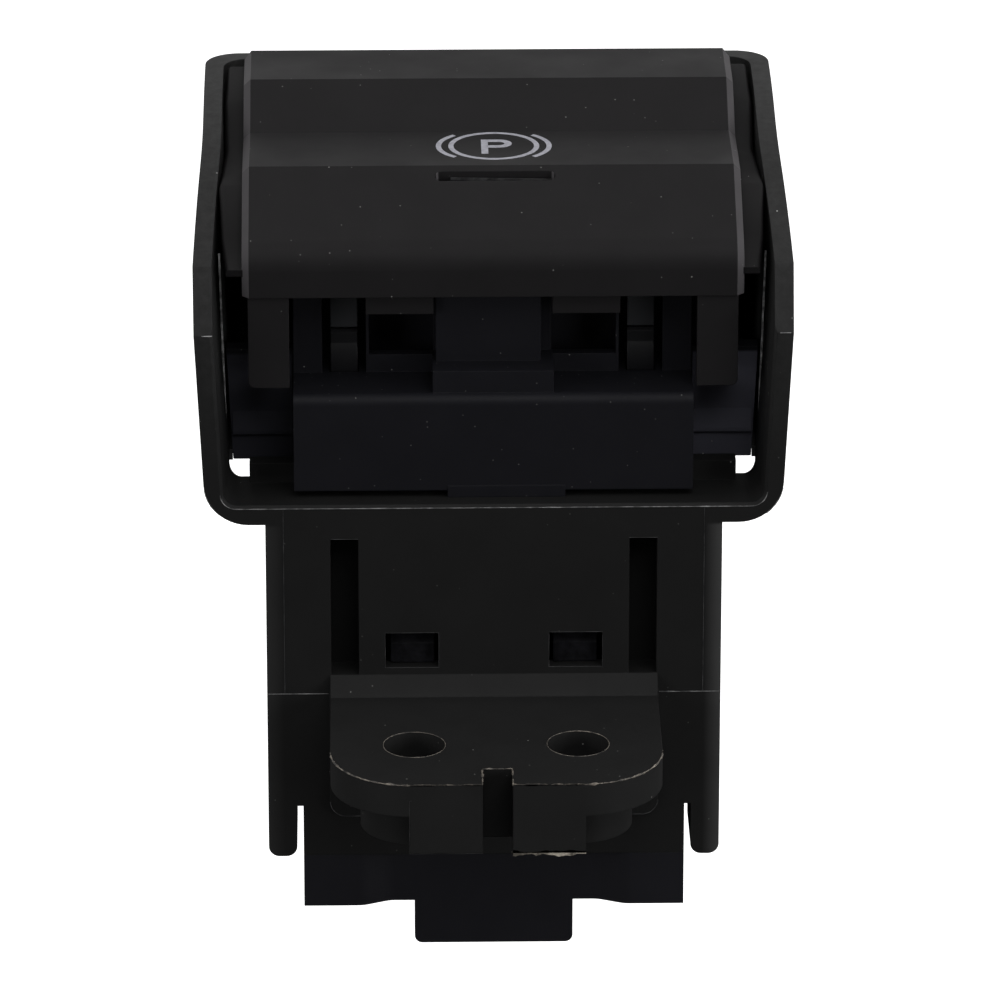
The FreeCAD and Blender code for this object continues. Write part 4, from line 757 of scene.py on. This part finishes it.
@dataclass
class SolidPieces:
    """The pieces that keep their own solids and only get a finish."""

    finishes: dict[str, Finish] = field(default_factory=lambda: {
        "housing": HOUSING_ABS,
        "inner_frame": FRAME_NYLON,
        "connector_cover": COVER_NYLON,
        "paddle_cap": PADDLE_ABS,
        "paddle_lever": LEVER_NYLON,
        "indicator_lens": SMOKED_LENS,
        "light_guide": CLEAR_GUIDE,
        "pivot_axle": GROUND_STEEL,
        "slider_left": SLIDER_ACETAL,
        "slider_right": SLIDER_ACETAL,
        "slider_spring_left": SPRING_STEEL,
        "slider_spring_right": SPRING_STEEL,
        "return_spring_left": SPRING_STEEL,
        "return_spring_right": SPRING_STEEL,
        "contact_wiper_left": BRONZE_STRIP,
        "contact_wiper_right": BRONZE_STRIP,
        "rubber_stop_left": STOP_RUBBER,
        "rubber_stop_right": STOP_RUBBER,
        "circuit_board": BOARD_LAMINATE,
        "control_chip": CHIP_EPOXY,
        "board_screws": ZINC_STEEL,
        "pin_header": COVER_NYLON,
        "contact_pins": TINNED_BRASS,
        "lamp_board": BOARD_LAMINATE,
        "indicator_lamp": LAMP_BODY,
        "symbol_lamp": LAMP_BODY,
        "lamp_ribbon": RIBBON_FILM,
    })

    def dress(self) -> None:
        """Give every solid its finish."""
        for node, finish in self.finishes.items():
            dress(frame["nodes"][node], finish)
            log.info("solid %s: %s", node, finish.name)


@dataclass
class Pictogram:
    """The printed parking brake sign on the paddle's top face.

    Sizes are in millimetres, on the face.
    """

    centre_x: float = 0.35
    centre_y: float = 34.3
    face_front: Point = (0.0, 27.9, 51.1)
    face_back: Point = (0.0, 39.1, 50.65)
    ring_radius: float = 4.6
    stroke: float = 0.53
    bracket_shift: float = 0.8
    bracket_radius: float = 5.06
    bracket_half_angle: float = 49.0
    stem_left: float = -1.28
    stem_width: float = 0.7
    letter_top: float = 2.1
    letter_foot: float = -2.57
    bowl_foot: float = -0.57
    bowl_right: float = 1.84
    bowl_stroke: float = 0.76
    film: float = 0.02
    sunk: float = 0.3

    def build(self) -> None:
        """Build the ring, the brackets and the letter and print them."""
        pieces = [
            self._flat_ring(self.ring_radius, (0, 0, 0), self.stroke),
            self._bracket(1), self._bracket(-1), self._stem(), self._bowl()]
        only(pieces[0])
        for piece in pieces[1:]:
            piece.select_set(True)
        bpy.ops.object.join()
        sign = pieces[0]
        bake(sign)
        bpy.ops.object.mode_set(mode="EDIT")
        bpy.ops.mesh.select_all(action="SELECT")
        bpy.ops.mesh.extrude_region_move(
            TRANSFORM_OT_translate={"value": (0, 0, self.film * MM)})
        bpy.ops.mesh.select_all(action="SELECT")
        bpy.ops.mesh.normals_make_consistent(inside=False)
        bpy.ops.object.mode_set(mode="OBJECT")
        front, back = Vector(self.face_front), Vector(self.face_back)
        slope = math.atan2(back.z - front.z, back.y - front.y)
        sign.rotation_euler = (slope, 0, 0)
        height = front.z + (self.centre_y - front.y) * math.tan(slope)
        sign.location = Vector((self.centre_x, self.centre_y,
                                height - self.film * self.sunk)) * MM
        settle(sign, "pictogram")
        give(sign, PRINTED_INK, Body.PADDLE)

    def _flat_ring(self, radius: float, middle: Point, stroke: float,
                   corners: int = 96) -> bpy.types.Object:
        """Make a flat ring.

        Args:
            radius: Outer radius.
            middle: Its centre.
            stroke: The width of its line.
            corners: How many corners it has.

        Returns:
            The ring, in the plane of the page.
        """
        only()
        bpy.ops.mesh.primitive_circle_add(
            vertices=corners, radius=radius * MM, fill_type="NGON",
            location=Vector(middle) * MM)
        ring = bpy.context.object
        bpy.ops.object.mode_set(mode="EDIT")
        bpy.ops.mesh.select_mode(type="FACE")
        bpy.ops.mesh.select_all(action="SELECT")
        bpy.ops.mesh.inset(thickness=stroke * MM, depth=0)
        bpy.ops.mesh.delete(type="FACE")
        bpy.ops.object.mode_set(mode="OBJECT")
        return ring

    def _bracket(self, side: int) -> bpy.types.Object:
        """Make one bracket beside the ring.

        Args:
            side: 1 for the right, -1 for the left.

        Returns:
            The bracket, in the plane of the page.
        """
        shift = side * self.bracket_shift
        bracket = self._flat_ring(self.bracket_radius, (shift, 0, 0),
                                  self.stroke)
        bake(bracket)
        angle = math.radians(self.bracket_half_angle)
        for turn in (1, -1):
            bpy.ops.object.mode_set(mode="EDIT")
            bpy.ops.mesh.select_all(action="SELECT")
            normal = (-side * math.sin(angle), turn * math.cos(angle), 0)
            bpy.ops.mesh.bisect(
                plane_co=(shift * MM, 0, 0), plane_no=normal,
                clear_outer=True, clear_inner=False, threshold=1e-7)
            bpy.ops.object.mode_set(mode="OBJECT")
        return bracket

    def _stem(self) -> bpy.types.Object:
        """Make the upright of the letter.

        Returns:
            The upright, in the plane of the page.
        """
        only()
        high = self.letter_top - self.letter_foot
        bpy.ops.mesh.primitive_plane_add(size=1.0, location=(
            (self.stem_left + self.stem_width / 2) * MM,
            (self.letter_top + self.letter_foot) / 2 * MM, 0))
        stem = bpy.context.object
        stem.scale = (self.stem_width * MM, high * MM, 1)
        bake(stem)
        return stem

    def _bowl(self) -> bpy.types.Object:
        """Make the bowl of the letter: a half ring with two straight arms.

        Returns:
            The bowl, in the plane of the page.
        """
        radius = (self.letter_top - self.bowl_foot) / 2
        middle = Vector((self.bowl_right - radius,
                         (self.letter_top + self.bowl_foot) / 2, 0))
        bowl = self._flat_ring(radius, middle, self.bowl_stroke, 64)
        middle *= MM
        bake(bowl)
        bpy.ops.object.mode_set(mode="EDIT")
        bpy.ops.mesh.select_all(action="SELECT")
        bpy.ops.mesh.bisect(plane_co=middle, plane_no=(-1, 0, 0),
                            clear_outer=True, threshold=1e-7)
        bpy.ops.mesh.select_mode(type="EDGE")
        mesh = bmesh.from_edit_mesh(bowl.data)
        for edge in mesh.edges:
            ends = [v.co.x for v in edge.verts]
            edge.select_set(edge.is_boundary
                            and max(abs(x - middle.x) for x in ends) < 1e-6)
        bmesh.update_edit_mesh(bowl.data)
        run = (self.stem_left + self.stem_width * 0.9) * MM - middle.x
        bpy.ops.mesh.extrude_region_move(
            TRANSFORM_OT_translate={"value": (run, 0, 0)})
        bpy.ops.object.mode_set(mode="OBJECT")
        return bowl


@dataclass
class PaddleSkirt:
    """The rounded skirt along each side of the paddle, down in the gap.

    Sizes are in millimetres. Each station gives the place along the paddle,
    the height of the paddle's top there and how far out the skirt has come.
    """

    inner: float = 24.1
    outer: float = 26.6
    drop: float = 2.0
    height: float = 0.7
    rounding: float = 0.45
    first: float = 0.2
    smooth_degrees: float = 35.0
    stations: tuple[Point, ...] = (
        (17.6, 45.9, 0.0), (21.6, 47.93, 0.45), (27.9, 51.1, 0.72),
        (39.1, 50.65, 0.27), (45.4, 53.7, 0.36), (53.4, 54.8, 0.12))

    def build(self) -> None:
        """Model both skirts and dress them."""
        for side, word in SIDES:
            give(self._skirt(side, f"paddle_skirt_{word}"), SHADED_SKIRT_ABS,
                 Body.PADDLE)

    def _skirt(self, side: int, name: str) -> bpy.types.Object:
        """Extrude one skirt from station to station and round its edge.

        Args:
            side: 1 for the right, -1 for the left.
            name: The piece's name.

        Returns:
            The finished skirt.
        """
        start_y, start_z, _ = self.stations[0]
        only()
        bpy.ops.mesh.primitive_cube_add(size=1.0, location=(
            side * (self.inner + self.outer) / 2 * MM,
            (start_y + self.first / 2) * MM,
            (start_z - self.drop - self.height / 2) * MM))
        skirt = bpy.context.object
        skirt.scale = ((self.outer - self.inner) * MM, self.first * MM,
                       self.height * MM)
        settle(skirt, name)
        bpy.ops.object.mode_set(mode="EDIT")
        bpy.ops.mesh.select_mode(type="FACE")
        before = (start_y + self.first, start_z, 0.0)
        for station in self.stations[1:]:
            pick(skirt, lambda face: face.normal.y > 0.5
                 and face.calc_center_median().y > (before[0] - 0.05) * MM)
            bpy.ops.mesh.extrude_region_move(TRANSFORM_OT_translate={"value": (
                side * (station[2] - before[2]) * MM,
                (station[0] - before[0]) * MM,
                (station[1] - before[1]) * MM)})
            before = station
        bpy.ops.mesh.select_mode(type="EDGE")
        mesh = bmesh.from_edit_mesh(skirt.data)
        for edge in mesh.edges:
            edge.select = False
        for edge in mesh.edges:
            sides = [face.normal for face in edge.link_faces]
            edge.select_set(any(n.z > 0.5 for n in sides)
                            and any(n.x * side > 0.9 for n in sides))
        bmesh.update_edit_mesh(skirt.data)
        bpy.ops.mesh.bevel(offset=self.rounding * MM, segments=8,
                           affect="EDGES")
        bpy.ops.mesh.select_all(action="SELECT")
        bpy.ops.mesh.normals_make_consistent(inside=False)
        bpy.ops.object.mode_set(mode="OBJECT")
        bpy.ops.object.shade_smooth_by_angle(
            angle=math.radians(self.smooth_degrees))
        return skirt


@dataclass
class FlashOrHighlightThread:
    """A torn thread along the sharp edges of a moulding: flash, or a painted
    highlight.

    The edges are those of the solid piece that lie wholly inside a box, in
    millimetres, and outside the boxes to skip.
    """

    name: str
    finish: Finish
    low: Point
    high: Point
    thick: float = 0.05
    ragged: float = 0.06
    tear_mm: float = 0.6
    skip: tuple[tuple[Point, Point], ...] = ()
    sharp: float = 25.0
    cloud_mm: float = 0.7
    node: str = "housing"

    def build(self) -> None:
        """Lift the edges off the solid, thread them and tear the thread."""
        only()
        thread = bpy.data.objects.new(self.name,
                                      frame["nodes"][self.node].data.copy())
        bpy.context.scene.collection.objects.link(thread)
        only(thread)
        bpy.ops.object.mode_set(mode="EDIT")
        bpy.ops.mesh.select_mode(type="EDGE")
        bpy.ops.mesh.select_all(action="SELECT")
        bpy.ops.mesh.remove_doubles(threshold=0.001 * MM)
        self._choose(thread)
        bpy.ops.mesh.select_all(action="INVERT")
        bpy.ops.mesh.delete(type="EDGE")
        bpy.ops.mesh.select_all(action="SELECT")
        bpy.ops.mesh.delete(type="ONLY_FACE")
        bpy.ops.mesh.select_all(action="SELECT")
        bpy.ops.mesh.delete_loose(use_verts=True, use_edges=False,
                                  use_faces=False)
        self._shorten(thread)
        bpy.ops.object.mode_set(mode="OBJECT")
        bpy.ops.object.convert(target="CURVE")
        thread = bpy.context.object
        thread.data.bevel_depth = self.thick * MM
        thread.data.bevel_resolution = 0
        thread.data.use_fill_caps = True
        bpy.ops.object.convert(target="MESH")
        thread = bpy.context.object
        tear(thread, self.cloud_mm, self.ragged)
        low, high = CAD_BOX
        for vertex in thread.data.vertices:
            vertex.co = [min(max(vertex.co[i], low[i]), high[i])
                         for i in range(3)]
        settle(thread, self.name)
        give(thread, self.finish, Body.BASE)

    def _inside(self, spot: Vector) -> bool:
        """Tell whether a point is in the box and in none to skip.

        Args:
            spot: The point.

        Returns:
            Whether it is wanted.
        """
        wanted, *skipped = (
            all(low[i] * MM <= spot[i] <= high[i] * MM for i in range(3))
            for low, high in ((self.low, self.high), *self.skip))
        return wanted and not any(skipped)

    def _choose(self, thread: bpy.types.Object) -> None:
        """Select the sharp edges that are wanted.

        Args:
            thread: The copy of the solid, in edit mode.
        """
        mesh = bmesh.from_edit_mesh(thread.data)
        for edge in mesh.edges:
            edge.select = False
        limit = math.radians(self.sharp)
        for edge in mesh.edges:
            if len(edge.link_faces) == 2 \
                    and edge.calc_face_angle() > limit \
                    and all(self._inside(v.co) for v in edge.verts):
                edge.select_set(True)
        mesh.select_flush_mode()
        bmesh.update_edit_mesh(thread.data)

    def _shorten(self, thread: bpy.types.Object) -> None:
        """Halve long edges until all are short enough to tear.

        Args:
            thread: The wire, in edit mode.
        """
        for _ in range(7):
            mesh = bmesh.from_edit_mesh(thread.data)
            long = 0
            for edge in mesh.edges:
                wanted = edge.calc_length() > self.tear_mm * MM
                edge.select = wanted
                long += wanted
            bmesh.update_edit_mesh(thread.data)
            if not long:
                return
            bpy.ops.mesh.subdivide(number_cuts=1)


@dataclass
class FlashOrHighlightFin:
    """One thin ragged fin between two points: flash along a parting line or a painted
    highlight line.
    """

    name: str
    finish: Finish
    start: Point
    end: Point
    proud: Point
    height: float = 0.1
    width: float = 0.09
    ragged: float = 0.05
    body: Body = Body.BASE
    slot: str = "black_abs"
    cloud_mm: float = 0.6
    cut_mm: float = 0.45
    cuts: tuple[int, int] = (3, 60)

    def build(self) -> None:
        """Model the fin and dress it."""
        start, end = Vector(self.start) * MM, Vector(self.end) * MM
        out = Vector(self.proud).normalized()
        run = end - start
        side = run.normalized().cross(out)
        only()
        bpy.ops.mesh.primitive_cube_add(size=1.0)
        fin = bpy.context.object
        turn = Matrix((run.normalized(), side, out)).transposed().to_4x4()
        fin.matrix_world = (
            Matrix.Translation((start + end) / 2) @ turn
            @ Matrix.Diagonal((run.length, self.width * MM,
                               self.height * MM, 1)))
        settle(fin, self.name)
        bpy.ops.object.mode_set(mode="EDIT")
        bpy.ops.mesh.select_mode(type="EDGE")
        mesh = bmesh.from_edit_mesh(fin.data)
        for edge in mesh.edges:
            way = edge.verts[1].co - edge.verts[0].co
            edge.select_set(abs(way.normalized().dot(run.normalized())) > 0.9)
        bmesh.update_edit_mesh(fin.data)
        cuts = int(run.length / (self.cut_mm * MM))
        bpy.ops.mesh.subdivide(
            number_cuts=max(self.cuts[0], min(self.cuts[1], cuts)))
        bpy.ops.object.mode_set(mode="OBJECT")
        tear(fin, self.cloud_mm, self.ragged)
        give(fin, self.finish, self.body)


@dataclass
class FlashAndPaintedHighlights:
    """All the flash that the mould left on the housing, the lens's rib and
    the pale lines that paint highlights on some edges.

    Sizes are in millimetres.
    """

    front: float = 13.4
    reach: float = -9.8
    skin: float = 0.1
    kink_shift: float = 0.5
    hole_across: float = 8.15
    hole_half: float = 3.2

    def build(self) -> None:
        """Lay out the fins and threads and build them."""
        for side, word in SIDES:
            for line in self._side_lines(side, word):
                line.build()
        FlashOrHighlightFin("lens_rib", FAINT_FLASH_AND_HIGHLIGHT, (-4.1, 26.98, 49.92),
                  (6.0, 26.98, 49.5), (0, 0, 1), 0.66, 0.1, 0.03,
                  Body.PADDLE, "smoked_lens").build()
        for thread in (*self._flange(), *self._bezel()):
            thread.build()

    def _side_lines(self, side: int, word: str) -> list[FlashOrHighlightFin]:
        """Plan the fins of one side: flash along the parting lines and painted
        highlight lines.

        Args:
            side: 1 for the right, -1 for the left.
            word: The side's name.

        Returns:
            The fins of the body, the root, the kink and the wing; those of the
            kink and along the wing are painted highlights.
        """
        front = self.front
        ahead, inwards = (0, -1, 0), (-side, 0, 0)
        shift = self.kink_shift if side > 0 else 0.0
        return [
            FlashOrHighlightFin(f"flash_body_{word}", FAINT_FLASH_AND_HIGHLIGHT,
                      (side * 21.1, front, -0.2), (side * 21.1, front, 19.8),
                      ahead, 0.08, 0.06, 0.06),
            FlashOrHighlightFin(f"flash_root_{word}", FLASH_DULL,
                      (side * 16.7, front, -0.26),
                      (side * 22.8, front, -0.26), ahead, 0.08, 0.07),
            # painted highlight along the bezel's kink
            FlashOrHighlightFin(f"painted_highlight_kink_{word}", PAINTED_EDGE_HIGHLIGHT,
                      (side * (27.95 + shift), front, 38.5),
                      (side * (29.0 + shift), front, 38.5), ahead, 0.08,
                      0.07, 0.07),
            FlashOrHighlightFin(f"flash_wing_foot_{word}", FAINT_FLASH_AND_HIGHLIGHT,
                      (side * 26.2, 22.6, 22.15), (side * 26.75, 22.6, 22.15),
                      ahead, 0.2, 1.1, 0.04),
            # painted highlight along the wing's outer edge
            FlashOrHighlightFin(f"flash_wing_{word}", PAINTED_EDGE_HIGHLIGHT,
                      (side * 26.5, 22.9, 21.6), (side * 27.56, 21.4, 44.2),
                      inwards, 0.2, 0.14, 0.09)]

    def _flange(self) -> list[FlashOrHighlightThread]:
        """Plan the threads along the flange, its holes and its blocks.

        Returns:
            The threads.
        """
        near, far = self.reach - self.skin, self.reach + self.skin
        half = self.hole_half
        holes = tuple(((side * self.hole_across - half, -half, -self.skin),
                       (side * self.hole_across + half, half, self.skin))
                      for side, _ in SIDES)
        return [
            FlashOrHighlightThread("flash_flange_rim", FLASH_WARM, (-16.6, near, -0.05),
                      (16.6, 10.3, 0.05), 0.075, 0.34, 0.4, holes),
            *(FlashOrHighlightThread(f"flash_hole_{word}", FLASH_WARM, low, high, 0.035,
                        0.04, 0.5)
              for (low, high), (_, word) in zip(holes, SIDES)),
            FlashOrHighlightThread("flash_key_right", FLASH_KEY, (1.4, near, -7.5),
                      (9.3, far, -3.0), 0.2, 0.7, 0.3),
            FlashOrHighlightThread("flash_key_left", FAINT_FLASH_AND_HIGHLIGHT, (-8.8, near, -7.5),
                      (-1.4, far, -0.2), 0.035, 0.04),
            FlashOrHighlightThread("flash_root_pad", FAINT_FLASH_AND_HIGHLIGHT, (-17.0, 12.5, -13.6),
                      (17.0, 12.7, -3.5), 0.05, 0.05, 0.8)]

    def _bezel(self) -> list[FlashOrHighlightThread]:
        """Plan the flash along the bezel's inner lip and the painted highlight along the
        edges of the windows and slots.

        Returns:
            The threads.
        """
        near, far = self.front - 0.02, self.front + 0.02
        return [
            FlashOrHighlightThread("flash_bezel_lip", FLASH_DULL, (-29.0, near, 19.0),
                      (29.0, far, 38.4), 0.045, 0.09, 0.45, sharp=20.0),
            # painted highlight along the edges of the windows and slots
            FlashOrHighlightThread("painted_highlight_openings", FAINT_FLASH_AND_HIGHLIGHT,
                      (-17.0, near, 2.4), (17.0, far, 17.0), 0.025, 0.03,
                      0.8, sharp=40.0)]


@dataclass(frozen=True)
class SoftLamp:
    """A soft rectangular lamp, in millimetres and watts."""

    name: str
    place: Point
    aim: Point
    size: Span
    power: float

    def build(self) -> None:
        """Hang the lamp and turn it to what it points at."""
        data = bpy.data.lights.new(self.name, "AREA")
        data.shape = "RECTANGLE"
        data.size, data.size_y = self.size[0] * MM, self.size[1] * MM
        data.energy = self.power
        lamp = bpy.data.objects.new(self.name, data)
        bpy.context.scene.collection.objects.link(lamp)
        lamp.location = Vector(self.place) * MM
        way = (Vector(self.aim) - Vector(self.place)) * MM
        lamp.rotation_euler = way.to_track_quat("-Z", "Y").to_euler()


@dataclass
class Studio:
    """A pale floor, a pale surround and soft lamps."""

    floor_z: float = -62.0
    floor_half: float = 3000.0
    floor_unseen: str = "#5a5a5a"
    floor_seen: str = "#f2f2f2"
    floor_lift: float = 0.8
    behind: Span = (0.35, 0.95)
    air_light: Span = (0.05, 0.8)
    lamps: tuple[SoftLamp, ...] = (
        SoftLamp("overhead", (0, 120, 820), (0, 25, 20), (1400, 1200), 3.4),
        SoftLamp("front_top", (160, -470, 620), (0, 20, 20), (520, 420), 1.6),
        SoftLamp("front_right", (640, -520, 150), (0, 20, 0), (320, 320),
                 1.9),
        SoftLamp("front_left", (-640, -520, 150), (0, 20, 0), (320, 320),
                 1.3),
        SoftLamp("right_side", (760, -60, 320), (0, 20, 20), (260, 500), 1.6),
        SoftLamp("left_side", (-760, -60, 420), (0, 20, 20), (260, 500), 1.2))

    def build(self) -> None:
        """Lay the floor, light the air and hang the lamps."""
        self._floor()
        self._air()
        for lamp in self.lamps:
            lamp.build()

    def _seen(self, tree: Tree) -> Socket:
        """Tell the rays of the eye, and those through clear plastic.

        Args:
            tree: The nodes that ask.

        Returns:
            1 for such a ray, 0 for any other.
        """
        path = add_node(tree, "LightPath").outputs
        either = add_node(tree, "Math",
                          links={0: path["Is Camera Ray"],
                                 1: path["Is Transmission Ray"]},
                          operation="MAXIMUM")
        return either.outputs[0]

    def _floor(self) -> None:
        """Lay the floor, white to the eye and greyer to other rays."""
        only()
        bpy.ops.mesh.primitive_plane_add(
            size=2 * self.floor_half * MM, location=(0, 0, self.floor_z * MM))
        floor = bpy.context.object
        floor.name = "studio_floor"
        material = bpy.data.materials.new("studio_paper")
        tree = cleared(material)
        seen = self._seen(tree)
        paper = add_node(tree, "Mix",
                         {6: srgb(self.floor_unseen),
                          7: srgb(self.floor_seen)},
                         {0: seen}, data_type="RGBA")
        matt = add_node(tree, "BsdfDiffuse",
                        links={"Color": paper.outputs[2]})
        lift = add_node(tree, "Math", {1: self.floor_lift},
                        {0: seen}, operation="MULTIPLY")
        glow = add_node(tree, "Emission", {"Color": WHITE},
                        {"Strength": lift.outputs[0]})
        both = add_node(tree, "AddShader",
                        links={0: matt.outputs[0], 1: glow.outputs[0]})
        add_node(tree, "OutputMaterial",
                 links={"Surface": both.outputs[0]})
        floor.data.materials.append(material)

    def _air(self) -> None:
        """Fill the air with plain light, white where the camera looks."""
        world = bpy.data.worlds.new("studio_air")
        bpy.context.scene.world = world
        tree = cleared(world)
        seen = self._seen(tree)
        way = add_node(tree, "TexCoord").outputs["Generated"]
        behind = along(tree, way, "Y", self.behind, self.air_light,
                       interpolation_type="SMOOTHSTEP")
        dim = add_node(tree, "Background", {"Color": WHITE},
                       {"Strength": behind})
        white = add_node(tree, "Background",
                         {"Color": WHITE, "Strength": 1.0})
        sight = add_node(tree, "MixShader", links={
            0: seen, 1: dim.outputs[0], 2: white.outputs[0]})
        add_node(tree, "OutputWorld",
                 links={"Surface": sight.outputs[0]})


@dataclass
class PhotoCamera:
    """A camera at the photograph's viewing angle."""

    aim: Point = (0.11, 13.4, 21.3)
    azimuth: float = -1.0
    elevation: float = 22.3
    distance: float = 800.0
    pixels_per_mm: float = 10.0
    frame_pixels: int = 990
    sensor: float = 36.0
    clip: Span = (0.01, 100)

    def build(self) -> None:
        """Set up the camera and make it the scene's own."""
        data = bpy.data.cameras.new("photo_camera")
        data.sensor_width = self.sensor
        data.lens = (self.distance * self.pixels_per_mm
                     / self.frame_pixels * self.sensor)
        data.clip_start, data.clip_end = self.clip
        camera = bpy.data.objects.new("photo_camera", data)
        bpy.context.scene.collection.objects.link(camera)
        turn = math.radians(self.azimuth)
        lift = math.radians(self.elevation)
        back = Vector((math.sin(turn) * math.cos(lift),
                       -math.cos(turn) * math.cos(lift), math.sin(lift)))
        camera.location = (Vector(self.aim) + back * self.distance) * MM
        camera.rotation_mode = "QUATERNION"
        camera.rotation_quaternion = (-back).to_track_quat("-Z", "Y")
        bpy.context.scene.camera = camera


def main() -> None:
    """Dress the part and set the studio round it."""
    logging.basicConfig(level=logging.INFO, format="%(name)s: %(message)s")
    bpy.context.scene.view_settings.view_transform = "Standard"
    SolidPieces().dress()
    PaddleSkirt().build()
    Pictogram().build()
    FlashAndPaintedHighlights().build()
    Studio().build()
    PhotoCamera().build()
    only()


if __name__ == "__main__":
    main()
